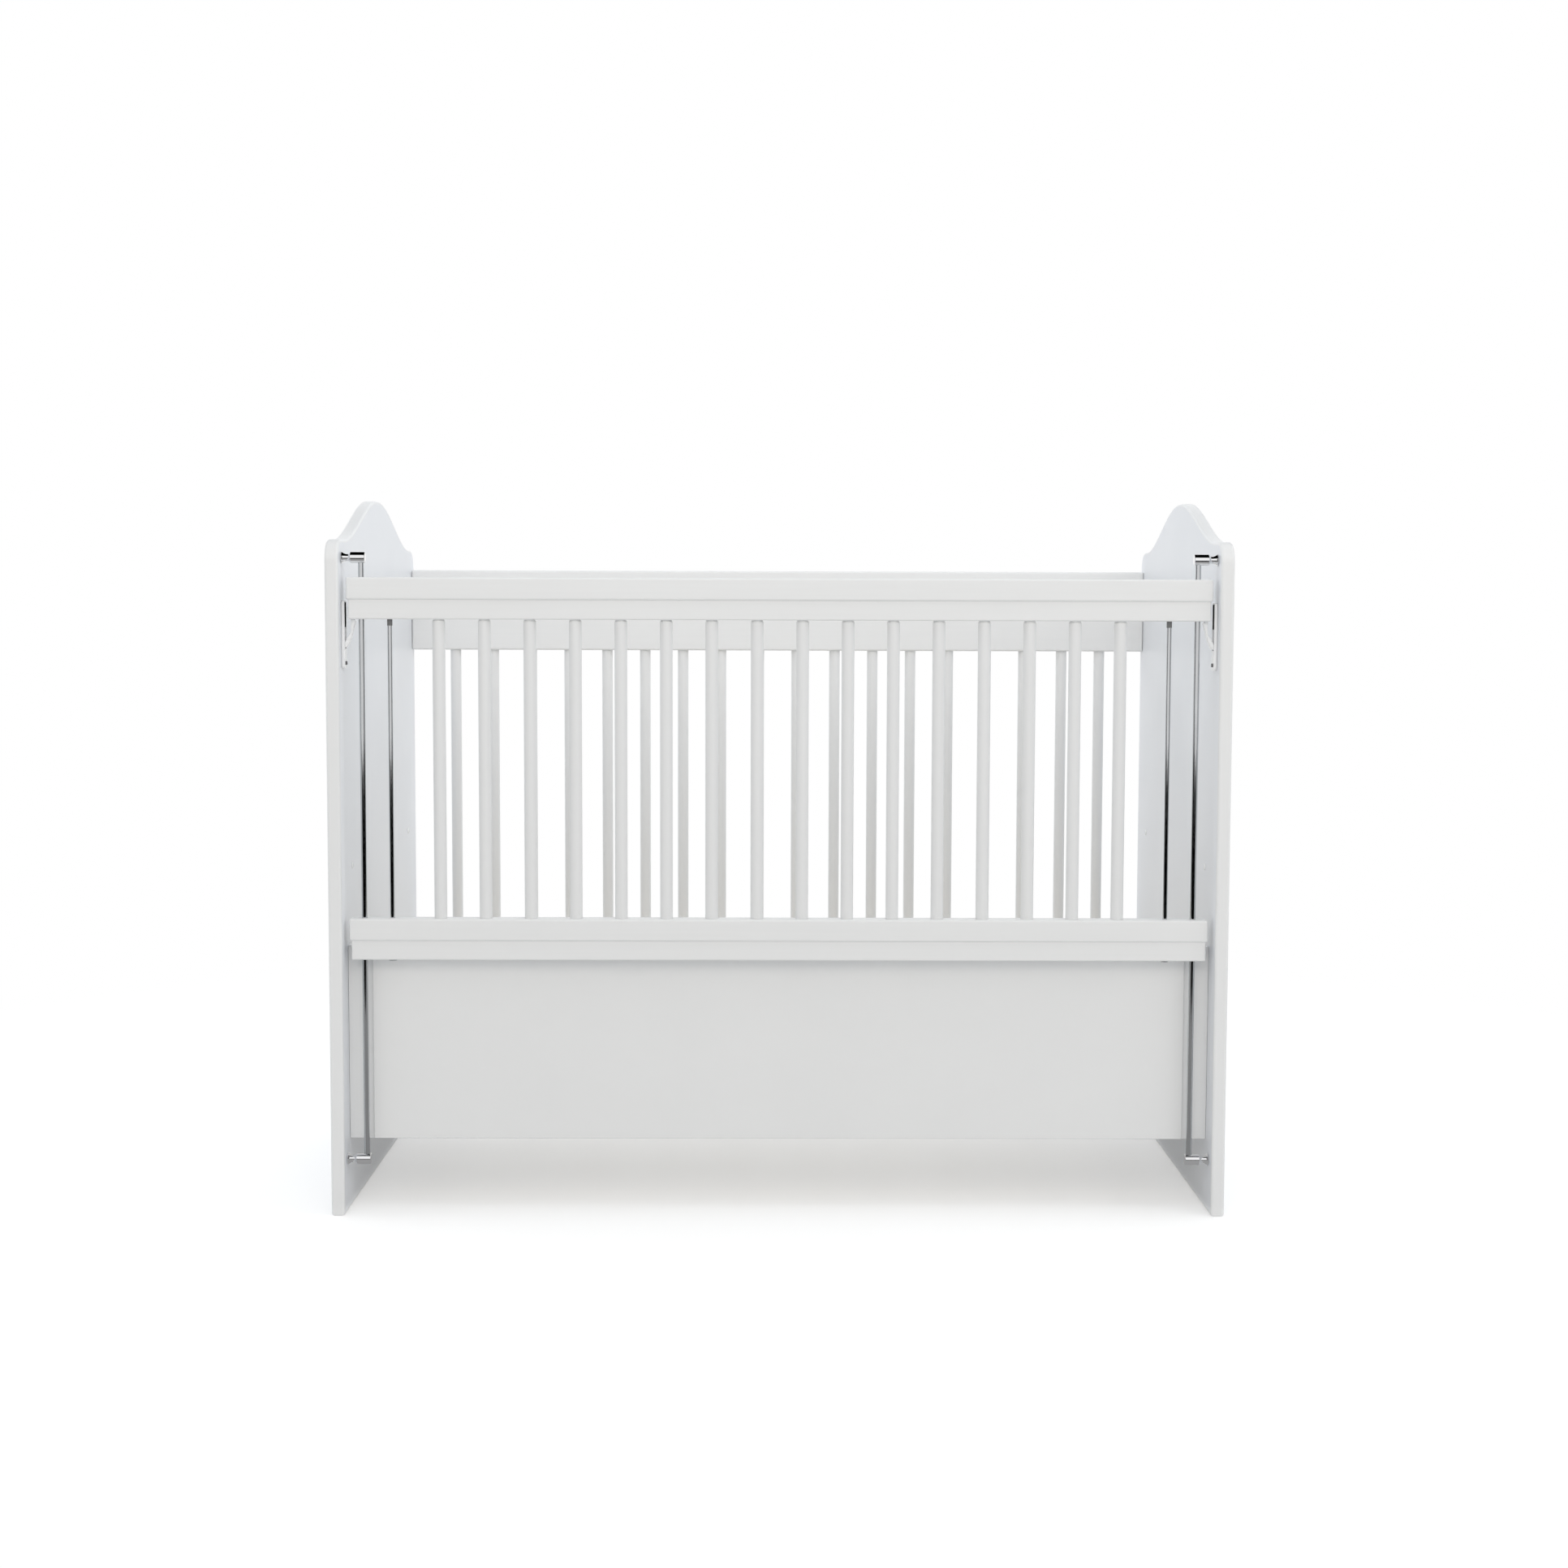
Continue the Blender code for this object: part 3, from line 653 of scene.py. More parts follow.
def turned(profile: Sequence[Pair], place: Vector, axis: Vector, steps: int = 40) -> Solid:
    """Turns a profile about an axis.

    Args:
        profile: (radius, distance along the axis) from end to end; it starts and ends on the axis.
        place: Where distance 0 lies.
        axis: The way that distance grows.
        steps: The steps round it.

    Returns:
        The solid.
    """
    build = bmesh.new()
    verts = [build.verts.new((radius, 0.0, along)) for radius, along in profile]
    edges = [build.edges.new(pair) for pair in zip(verts, verts[1:])]
    bmesh.ops.spin(
        build, geom=verts + edges, cent=(0, 0, 0), axis=(0, 0, 1), angle=math.tau, steps=steps, use_merge=True
    )
    bmesh.ops.remove_doubles(build, verts=build.verts, dist=WELD)
    turn = UP.rotation_difference(axis).to_matrix().to_4x4()
    bmesh.ops.transform(build, matrix=Matrix.Translation(place) @ turn, verts=build.verts)
    bmesh.ops.recalc_face_normals(build, faces=build.faces)
    return build


def pin(radius: float, low: Vector, high: Vector, chamfer: float, steps: int = 40) -> Solid:
    """Makes a round bar between two points.

    Args:
        radius: Its radius.
        low: One end.
        high: The other end.
        chamfer: The chamfer at both ends.
        steps: The steps round it.

    Returns:
        The solid.
    """
    length = (high - low).length
    inner = radius - chamfer
    profile = [(0, 0), (inner, 0), (radius, chamfer)]
    profile += [(radius, length - chamfer), (inner, length), (0, length)]
    return turned(profile, low, (high - low).normalized(), steps)


def arc(centre: Pair, radius: float, start: float, end: float, steps: int) -> list[Pair]:
    """Returns points along an arc.

    Args:
        centre: The arc's centre.
        radius: Its radius.
        start: The first point's angle in degrees.
        end: The last point's angle.
        steps: The steps between them.

    Returns:
        The points.
    """
    turns = [math.radians(start + (end - start) * i / steps) for i in range(steps + 1)]
    return [(centre[0] + radius * math.cos(turn), centre[1] + radius * math.sin(turn)) for turn in turns]


def dome(radius: float, start: float, rise: float, turns: Sequence[float]) -> list[Pair]:
    """Returns the upper part of a domed profile.

    Args:
        radius: The dome's radius.
        start: The distance along the axis at which it starts.
        rise: How far it rises from there.
        turns: Where its points lie, in radians from its edge up.

    Returns:
        The points as (radius, distance), the last one on the axis.
    """
    rounded = [(radius * math.cos(turn), start + rise * math.sin(turn)) for turn in turns]
    return [*rounded, (0, start + rise)]


def baked(name: str, build: Solid) -> bpy.types.Mesh:
    """Turns a solid into a mesh.

    Args:
        name: The mesh's name.
        build: The solid, which is used up.

    Returns:
        The mesh.
    """
    mesh = bpy.data.meshes.new(name)
    build.to_mesh(mesh)
    build.free()
    return mesh


def placed(name: str, data: bpy.types.ID) -> bpy.types.Object:
    """Makes an object and links it to the scene.

    Args:
        name: Its name.
        data: Its mesh, lamp or camera.

    Returns:
        The object.
    """
    made = bpy.data.objects.new(name, data)
    bpy.context.scene.collection.objects.link(made)
    return made


def together(*builds: Solid) -> Solid:
    """Puts several solids in one mesh, and returns it."""
    whole = bmesh.new()
    for build in builds:
        mesh = baked("part", build)
        whole.from_mesh(mesh)
        bpy.data.meshes.remove(mesh)
    return whole


def carve(stock: Solid, tool: Solid, work: Work = Work.CUT) -> Solid:
    """Cuts a solid with another, or joins them.

    Args:
        stock: The solid to work on.
        tool: The other solid.
        work: Which of the two.

    Returns:
        The result.
    """
    items = [placed("carved", baked("carved", build)) for build in (stock, tool)]
    boolean = items[0].modifiers.new("carve", "BOOLEAN")
    boolean.operation = work.value
    boolean.solver = "EXACT"
    boolean.object = items[1]
    graph = bpy.context.evaluated_depsgraph_get()
    result = bmesh.new()
    result.from_mesh(bpy.data.meshes.new_from_object(items[0].evaluated_get(graph)))
    for item in items:
        bpy.data.objects.remove(item, do_unlink=True)
    return result


def piece(
    name: str,
    build: Solid,
    finish: Finish,
    body: Body,
    nodes: Sequence[str] = (),
    edging: Finish | None = None,
) -> None:
    """Makes a finished piece of a solid and sets it riding.

    Args:
        name: The piece's name.
        build: The solid, in place.
        finish: Its finish.
        body: The body that it rides on.
        nodes: The CAD nodes that it stands for.
        edging: The finish of what doesn't face along X, where that is another one.
    """
    mesh = baked(name, build)
    mesh.shade_smooth()
    mesh.set_sharp_from_angle(angle=SHARP_ANGLE)
    mesh.materials.append(finish.material())
    if edging:
        mesh.materials.append(edging.material())
        for face in mesh.polygons:
            face.material_index = 0 if abs(face.normal.x) > ACROSS_SHARE else 1
    made = placed(name, mesh)
    normals = made.modifiers.new("flat faces", "WEIGHTED_NORMAL")
    normals.keep_sharp = True
    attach(made, body.value)
    if nodes:
        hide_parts(*nodes)
    LOG.info("%s rides on %s and stands for %s", name, body.value, ", ".join(nodes) or "no node")


def middle(node: str) -> Vector:
    """Returns the middle of a CAD node's box."""
    low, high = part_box(node)
    return (low + high) / 2


def half_width(node: str) -> float:
    """Returns half of a CAD node's width, which is a round one's radius."""
    low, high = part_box(node)
    return (high.x - low.x) / 2


def upright(place: Vector, *heights: float) -> list[Vector]:
    """Returns the points over or under a place that have the given heights."""
    return [Vector((place.x, place.y, height)) for height in heights]


# Sub-assemblies


@dataclass
class EndBoards:
    """The two end boards, with their bell-shaped tops, the caps over their bolts and their plugs.

    Attributes:
        shoulder: The shoulder's height.
        flat_half: Half of the flat at the top of the bell.
        foot_inset: From the bell's foot to the board's edge.
        corner: The radius of the shoulder's corners.
        rounding: The radius of the board's edges.
        crest_steps: Steps of half the bell.
        corner_steps: Steps of a corner.
        cap_radius: The radius of the caps over the joint bolts.
        cap_sink: The depth of their recesses.
        cap_gap: The gap round a cap.
        cap_side_share: The height of a cap's side as a share of the recess.
        cap_rise_share: The height of the dome on it, as a share of the recess.
        cap_turns: Where the dome's points lie.
        joint_shares: The nodes that the bolts hold, and the bolts' heights as shares of theirs.
        plug_radius: The radius of the plugs in the spare holes.
        plug_proud: How far the plugs stand out.
        plug_turns: Where the points of a plug's rounded edge lie.
        plug_inset: From a plug to the board's edge.
        plug_height: The height of the spare holes.
    """

    shoulder: float = 0.944
    flat_half: float = 0.008
    foot_inset: float = 0.047
    corner: float = 0.030
    rounding: float = 0.004
    crest_steps: int = 48
    corner_steps: int = 14
    cap_radius: float = 0.0068
    cap_sink: float = 0.0012
    cap_gap: float = 0.0003
    cap_side_share: float = 0.35
    cap_rise_share: float = 0.55
    cap_turns: tuple[float, ...] = (0.0, 0.2, 0.5, 0.9)
    joint_shares: tuple[tuple[str, tuple[float, ...]], ...] = (
        ("back_rail_top", (0.26, 0.74)),
        ("back_rail_bottom", (0.5,)),
        ("panel_post_left", (0.18, 0.82)),
    )
    plug_radius: float = 0.0046
    plug_proud: float = 0.0012
    plug_turns: tuple[float, ...] = (0.3, 0.8, 1.3)
    plug_inset: float = 0.087
    plug_height: float = 0.484

    def outline(self, depth: float, crest: float) -> list[Pair]:
        """Returns the board's outline as (depth, height).

        Args:
            depth: Half of the board's depth.
            crest: The height of its top.

        Returns:
            The points, round from the back foot.
        """
        foot = depth - self.foot_inset
        half = []
        for i in range(self.crest_steps + 1):
            share = i / self.crest_steps
            rise = (crest - self.shoulder) * (1 - share) ** 2 * (1 + 2 * share)
            half.append((self.flat_half + (foot - self.flat_half) * share, self.shoulder + rise))
        centre = (depth - self.corner, self.shoulder - self.corner)
        half += arc(centre, self.corner, 90, 0, self.corner_steps)
        half.append((depth, 0.0))
        return half + [(-across, up) for across, up in reversed(half)]

    def joints(self) -> list[Pair]:
        """Returns the places of the bolts that hold the rails and posts, as (depth, height)."""
        places = []
        for node, shares in self.joint_shares:
            low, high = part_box(node)
            places += [((low.y + high.y) / 2, low.z + (high.z - low.z) * share) for share in shares]
        return places

    def make(self) -> None:
        """Makes both boards, their caps and their plugs."""
        for side in Side:
            self.board(side)
            self.plugs(side)

    def board(self, side: Side) -> None:
        """Makes one board, with the caps over its joint bolts."""
        node = f"end_board_{side.word}"
        outer, inner = side.reach(node)
        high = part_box(node)[1]
        points = [Vector((inner, across, up)) for across, up in self.outline(high.y, high.z)]
        board = slab(points, Vector((outer - inner, 0, 0)), self.rounding)
        sink = side.inward * self.cap_sink
        profile = [(0, 0), (self.cap_radius, 0)]
        start, rise = self.cap_side_share * self.cap_sink, self.cap_rise_share * self.cap_sink
        profile += dome(self.cap_radius, start, rise, self.cap_turns)
        faces = [Vector((outer, across, up)) for across, up in self.joints()]
        wells = [pin(self.cap_radius + self.cap_gap, face + sink, face - sink, 0.0) for face in faces]
        caps = [turned(profile, face + sink, -side.inward) for face in faces]
        board = carve(board, together(*wells))
        # The faces that look along X take the cooler lacquer, which paints the bluish shade on them; the
        # edges take the plain one.
        piece(f"{side.word}_end_board", board, PAINTED_COOL_FACE_LACQUER, Body.FRAME, [node], BOARD_LACQUER)
        piece(f"{side.word}_joint_caps", together(*caps), MOULDING, Body.FRAME)

    def plugs(self, side: Side) -> None:
        """Makes the plugs in one board's spare holes."""
        node = f"end_board_{side.word}"
        inner = side.reach(node)[1]
        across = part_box(node)[1].y - self.plug_inset
        radius, proud = self.plug_radius, self.plug_proud
        rim = [(radius - proud * (1 - math.cos(turn)), proud * math.sin(turn)) for turn in self.plug_turns]
        profile = [(0, 0), (radius, 0), *rim, (0, proud)]
        places = [Vector((inner, sign * across, self.plug_height)) for sign in (-1, 1)]
        plugs = [turned(profile, place, side.inward) for place in places]
        piece(f"{side.word}_hole_plugs", together(*plugs), MOULDING, Body.FRAME)


@dataclass(frozen=True)
class Bars:
    """Round bars between two rails.

    Attributes:
        steps: The steps round a bar.
        chamfer: The chamfer at its ends.
        seat: How deep the bars sit in the rails.
        gap: The gap round a bar in its socket.
        groove_depth: The depth of the shadow groove under a rail.
        groove_height: The groove's height.
        groove_slope: The sloped share of that height.
    """

    steps: int = 40
    chamfer: float = 0.0008
    seat: float = 0.012
    gap: float = 0.0002
    groove_depth: float = 0.0012
    groove_height: float = 0.0022
    groove_slope: float = 0.3

    def make(self, node: str, name: str, finish: Finish, body: Body, under: float | None = None) -> None:
        """Makes one bar.

        Args:
            node: The CAD node that it stands for.
            name: The piece's name.
            finish: Its finish.
            body: The body that it rides on.
            under: The height of the rail's underside, for a bar with a shadow groove there.
        """
        low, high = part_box(node)
        radius, length = half_width(node), high.z - low.z
        inner = radius - self.chamfer
        profile = [(0, 0), (inner, 0), (radius, self.chamfer)]
        if under is not None:
            top, neck = under - low.z, radius - self.groove_depth
            start = top - self.groove_height
            slope_end = start + self.groove_slope * self.groove_height
            profile += [(radius, start), (neck, slope_end), (neck, top), (radius, top)]
        profile += [(radius, length - self.chamfer), (inner, length), (0, length)]
        piece(name, turned(profile, *upright(middle(node), low.z), UP, self.steps), finish, body, [node])

    def sockets(self, nodes: Sequence[str], up: bool) -> list[Solid]:
        """Returns cutters for the sockets of some bars.

        Args:
            nodes: The bars' CAD nodes.
            up: Whether the rail is above the bars.

        Returns:
            The cutters.
        """
        cutters = []
        for node in nodes:
            low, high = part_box(node)
            if up:
                heights = (high.z - 2 * self.seat, high.z + self.gap)
            else:
                heights = (low.z - self.gap, low.z + 2 * self.seat)
            ends = upright(middle(node), *heights)
            cutters.append(pin(half_width(node) + self.gap, *ends, 0.0, self.steps))
        return cutters


@dataclass
class BackSide:
    """The fixed back side: a deep top rail, a bottom rail and its bars.

    Attributes:
        rounding: The radius of the rails' edges.
        bars: What its bars have in common.
        count: How many bars it has.
    """

    rounding: float = 0.003
    bars: Bars = Bars()
    count: int = 18

    def make(self) -> None:
        """Makes the rails and the bars."""
        nodes = [f"back_bar_{number:02d}" for number in range(1, self.count + 1)]
        for word, up in (("top", True), ("bottom", False)):
            low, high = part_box(f"back_rail_{word}")
            rail = carve(box(low, high, self.rounding), together(*self.bars.sockets(nodes, up)))
            # The back rails take the lighter lacquer copy, which paints light on them.
            piece(f"back_side_{word}_rail", rail, BACK_RAIL_LIT_LACQUER, Body.FRAME, [f"back_rail_{word}"])
        for number, node in enumerate(nodes, 1):
            # The back bars take the lighter lacquer copy, which paints light on them.
            self.bars.make(node, f"back_side_bar_{number:02d}", BACK_BAR_LIT_LACQUER, Body.FRAME)


@dataclass
class DropSide:
    """The drop side: two stepped rails, its wooden bars and a steel bar near each end.

    Attributes:
        step: How far the upper part of a rail stands proud of the lower.
        lower: The height of the lower part.
        rounding: The radius of the rails' edges.
        ledge_rounding: The radius of the lower part's edges.
        rod_gap: The gap round a guide rod.
        shade_ring_height: The height of the dark ring under the top rail, round a steel bar, that paints the
            shade where it enters the rail.
        shade_ring_wall: The thickness of its wall.
        cap_radius: The radius of the cap on a steel bar's lower end, under the bottom rail.
        cap_height: The cap's height.
        cap_rim_share: The chamfer of its edge as a share of that.
        bars: What its bars have in common.
        count: How many wooden bars it has.
    """

    step: float = 0.0025
    lower: float = 0.027
    rounding: float = 0.003
    ledge_rounding: float = 0.0022
    rod_gap: float = 0.0005
    shade_ring_height: float = 0.0088
    shade_ring_wall: float = 0.0004
    cap_radius: float = 0.006
    cap_height: float = 0.0022
    cap_rim_share: float = 0.3
    bars: Bars = Bars()
    count: int = 16

    def rail(self, node: str, cutters: list[Solid]) -> Solid:
        """Makes a stepped rail.

        Args:
            node: The CAD node that it stands for.
            cutters: What is cut out of it.

        Returns:
            The rail.
        """
        low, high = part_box(node)
        upper = box((low.x, low.y, low.z + self.lower), high, self.rounding)
        inset = (low.x + self.step, low.y + self.step, low.z)
        over = low.z + self.lower + 2 * self.rounding
        lower = box(inset, (high.x - self.step, high.y, over), self.ledge_rounding)
        return carve(carve(upper, lower, Work.JOIN), together(*cutters))

    def make(self) -> None:
        """Makes the rails and the bars."""
        nodes = [f"drop_bar_{number:02d}" for number in range(1, self.count + 1)]
        steel = [f"steel_bar_{side.word}" for side in Side]
        for word, up in (("top", True), ("bottom", False)):
            low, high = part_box(f"drop_rail_{word}")
            cutters = self.bars.sockets(nodes + steel, up)
            for rod in [f"guide_rod_{side.word}" for side in Side]:
                ends = upright(middle(rod), low.z - self.rounding, high.z + self.rounding)
                cutters.append(pin(half_width(rod) + self.rod_gap, *ends, 0.0))
            rail = self.rail(f"drop_rail_{word}", cutters)
            piece(f"drop_side_{word}_rail", rail, RAIL_LACQUER, Body.DROP_SIDE, [f"drop_rail_{word}"])
        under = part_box("drop_rail_top")[0].z
        for number, node in enumerate(nodes, 1):
            # The drop side's bars take the darker lacquer copy, which paints shade on them.
            self.bars.make(node, f"drop_side_bar_{number:02d}", FRONT_BAR_SHADED_LACQUER, Body.DROP_SIDE, under)
        for side, node in zip(Side, steel):
            self.bars.make(node, f"{side.word}_drop_side_steel_bar", ROD_STEEL, Body.DROP_SIDE)
            self.trim(side, node)

    def trim(self, side: Side, node: str) -> None:
        """Makes a steel bar's dark ring, painted shade under the top rail, and its end cap.

        Args:
            side: The end of the crib.
            node: The bar's CAD node.
        """
        under_top, under_bottom = (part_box(f"drop_rail_{word}")[0].z for word in ("top", "bottom"))
        place, cap_place = upright(middle(node), under_top - self.shade_ring_height, under_bottom - self.cap_height)
        inner = half_width(node)
        outer = inner + self.shade_ring_wall
        profile = [(inner, 0), (outer, 0), (outer, self.shade_ring_height), (inner, self.shade_ring_height), (inner, 0)]
        # A thin dark ring: painted shade where the steel bar enters the top rail.
        piece(f"{side.word}_steel_bar_bush", turned(profile, place, UP), STEEL_BAR_SHADE_GREY, Body.DROP_SIDE)
        rim, radius, height = self.cap_height * self.cap_rim_share, self.cap_radius, self.cap_height
        profile = [(0, 0), (radius - rim, 0), (radius, rim), (radius, height), (0, height)]
        piece(f"{side.word}_steel_bar_cap", turned(profile, cap_place, UP), ZINC, Body.DROP_SIDE)


@dataclass
class LowerPanel:
    """The panel below the drop side, and the posts behind its ends.

    Attributes:
        rounding: The radius of the panel's edges.
        post_rounding: The radius of the posts' edges.
    """

    rounding: float = 0.0015
    post_rounding: float = 0.0003

    def make(self) -> None:
        """Makes the panel and the posts."""
        panel = box(*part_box("lower_panel"), self.rounding)
        piece("front_panel", panel, BOARD_LACQUER, Body.FRAME, ["lower_panel"])
        for side in Side:
            node = f"panel_post_{side.word}"
            post = box(*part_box(node), self.post_rounding)
            # The posts sit in the shaded recess beside the panel; the lighter lacquer copy paints light on
            # them.
            piece(f"{side.word}_post", post, BACK_BAR_LIT_LACQUER, Body.FRAME, [node])


@dataclass
class MattressBase:
    """The slatted base, its screws and its four bolts.

    Attributes:
        member: The width of the frame's members.
        slat_thickness: The thickness of a slat.
        slat_width: The width of a slat.
        slat_count: How many there are.
        end_margin: From the base's end to the first slat.
        tip_inset: From the base's edge to the slats' tips.
        rounding: The radius of the edges.
        screw_radius: The radius of the slats' screw heads.
        screw_proud: How far they stand out.
        screw_top_share: The radius of their flat tops as a share of that.
        screw_shares: Where they sit across a slat, as shares of its width.
        screw_steps: The steps round them.
        bolt_head: The thickness of a bolt's head.
        bolt_shank: The radius of its shank.
        chamfer_share: The chamfers of shank and head, as shares of the shank's radius and the head.
        rim_share: How far the head's chamfer reaches down its side, as a share of the head.
        socket_share: A bolt's hexagon as a share of its head's radius.
        socket_depth_share: Its depth as a share of the head's thickness.
        socket_sides: The sides of the hexagon.
    """

    member: float = 0.018
    slat_thickness: float = 0.008
    slat_width: float = 0.060
    slat_count: int = 12
    end_margin: float = 0.045
    tip_inset: float = 0.0015
    rounding: float = 0.0012
    screw_radius: float = 0.0035
    screw_proud: float = 0.0002
    screw_top_share: float = 0.8
    screw_shares: Pair = (0.25, 0.75)
    screw_steps: int = 20
    bolt_head: float = 0.004
    bolt_shank: float = 0.003
    chamfer_share: float = 0.2
    rim_share: float = 0.25
    socket_share: float = 0.52
    socket_depth_share: float = 0.6
    socket_sides: int = 6

    def make(self) -> None:
        """Makes the frame, the slats, the screws and the bolts."""
        low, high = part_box("mattress_base")
        self.frame(low, high)
        self.slats(low, high)
        for side in Side:
            for row in ("front", "back"):
                self.bolt(side, row)

    def frame(self, low: Vector, high: Vector) -> None:
        """Makes the four members of the frame.

        Args:
            low: The base's lowest corner.
            high: Its highest corner.
        """
        top = high.z - self.slat_thickness
        inner_low, inner_high = low.y + self.member, high.y - self.member
        for word, front, back in (("front", low.y, inner_low), ("back", inner_high, high.y)):
            member = box((low.x, front, low.z), (high.x, back, top), self.rounding)
            piece(f"base_{word}_rail", member, RAIL_PINE, Body.FRAME, ["mattress_base"])
        for side in Side:
            edge = side.reach("mattress_base")[0]
            near, far = sorted((edge, edge + side.inward.x * self.member))
            member = box((near, inner_low, low.z), (far, inner_high, top), self.rounding)
            piece(f"{side.word}_base_end", member, SLAT_PINE, Body.FRAME, ["mattress_base"])

    def slats(self, low: Vector, high: Vector) -> None:
        """Makes the slats and their screws.

        Args:
            low: The base's lowest corner.
            high: Its highest corner.
        """
        radius, top = self.screw_radius, self.rounding + self.screw_proud
        profile = [(0, 0), (radius, 0), (radius, self.rounding)]
        profile += [(radius * self.screw_top_share, top), (0, top)]
        pitch = (high.x - low.x - 2 * self.end_margin - self.slat_width) / (self.slat_count - 1)
        screws = []
        for number in range(self.slat_count):
            start = low.x + self.end_margin + number * pitch
            near = (start, low.y + self.tip_inset, high.z - self.slat_thickness)
            far = (start + self.slat_width, high.y - self.tip_inset, high.z)
            slat = box(near, far, self.rounding)
            piece(f"base_slat_{number + 1:02d}", slat, SLAT_PINE, Body.FRAME, ["mattress_base"])
            for y in (low.y + self.member / 2, high.y - self.member / 2):
                for share in self.screw_shares:
                    place = Vector((start + share * self.slat_width, y, high.z - self.rounding))
                    screws.append(turned(profile, place, UP, self.screw_steps))
        piece("slat_screws", together(*screws), ZINC, Body.FRAME)

    def bolt(self, side: Side, row: str) -> None:
        """Makes one bolt, with a hexagon socket in its head.

        Args:
            side: The end of the crib.
            row: front or back.
        """
        node = f"base_bolt_{row}_{side.word}"
        low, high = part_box(node)
        centre, radius = middle(node), (high.z - low.z) / 2
        tip, face = side.reach(node)
        length, head, shank = abs(face - tip), self.bolt_head, self.bolt_shank
        chamfer, edge, under = shank * self.chamfer_share, head * self.chamfer_share, length - head
        profile = [(0, 0), (shank - chamfer, 0), (shank, chamfer), (shank, under), (radius, under)]
        profile += [(radius, length - head * self.rim_share), (radius - edge, length), (0, length)]
        bolt = turned(profile, Vector((tip, centre.y, centre.z)), side.inward)
        mouth = Vector((face, centre.y, centre.z))
        sunk = side.inward * head * self.socket_depth_share
        socket = pin(radius * self.socket_share, mouth - sunk, mouth + sunk, 0.0, self.socket_sides)
        piece(f"{side.word}_{row}_base_bolt", carve(bolt, socket), ZINC, Body.FRAME, [node])


@dataclass
class GuideRods:
    """The two guide rods and the brackets that hold them.

    Attributes:
        body_start: From the end board to a bracket's body.
        waist: The radius of the waist.
        flange: The thickness of the flange at the end board.
        rim_share: The chamfer of its edge as a share of that.
        flare: The length of the flare from the flange to the waist.
        flare_power: How hollow the flare is.
        flare_steps: The steps of the flare.
        body_radius: The radius of the body.
        edge: The radius of the body's edges.
        edge_start: Where the inner edge's rounding starts, in degrees.
        edge_steps: The steps of the inner edge and of the outer one.
        step_share: The chamfer between waist and body as a share of that.
        chamfer: The chamfer at the rods' ends.
        bore_gap: The gap round a rod in its bracket.
        steps: The steps round a bracket.
    """

    body_start: float = 0.0124
    waist: float = 0.0048
    flange: float = 0.0015
    rim_share: float = 0.3
    flare: float = 0.006
    flare_power: float = 1.6
    flare_steps: int = 8
    body_radius: float = 0.0078
    edge: float = 0.0012
    edge_start: float = -60.0
    edge_steps: tuple[int, int] = (4, 5)
    step_share: float = 0.4
    chamfer: float = 0.0005
    bore_gap: float = 0.0002
    steps: int = 64

    def profile(self, reach: float, radius: float) -> list[Pair]:
        """Returns a bracket's profile from the end board out.

        Args:
            reach: Its length.
            radius: Its flange's radius.

        Returns:
            The points as (radius, distance).
        """
        rim = self.rim_share * self.flange
        points = [(0, 0), (radius - rim, 0), (radius, rim)]
        points += [(radius, self.flange - rim), (radius - rim, self.flange)]
        for i in range(1, self.flare_steps + 1):
            share = i / self.flare_steps
            hollow = (radius - rim - self.waist) * (1 - share) ** self.flare_power
            points.append((self.waist + hollow, self.flange + self.flare * share))
        points.append((self.waist, self.body_start - 2 * self.edge))
        points.append((self.waist + self.step_share * self.edge, self.body_start - self.edge))
        inner = self.body_radius - self.edge
        points.append((inner, self.body_start))
        near, far = self.edge_steps
        points += arc((inner, self.body_start + self.edge), self.edge, self.edge_start, 0, near)
        points += arc((inner, reach - self.edge), self.edge, 0, 90, far)
        points.append((0, reach))
        return points

    def make(self) -> None:
        """Makes the rods and the brackets."""
        for side in Side:
            rod = f"guide_rod_{side.word}"
            low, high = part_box(rod)
            radius, ends = half_width(rod), upright(middle(rod), low.z, high.z)
            piece(f"{side.word}_rod", pin(radius, *ends, self.chamfer), ROD_STEEL, Body.FRAME, [rod])
            for level in ("top", "bottom"):
                node = f"rod_bracket_{level}_{side.word}"
                near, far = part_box(node)
                place = middle(node)
                place.x = side.reach(node)[0]
                profile = self.profile(far.x - near.x, (far.z - near.z) / 2)
                bracket = turned(profile, place, side.inward, self.steps)
                bore = pin(radius + self.bore_gap, *ends, 0.0)
                piece(f"{side.word}_{level}_bracket", carve(bracket, bore), CHROME, Body.FRAME, [node])


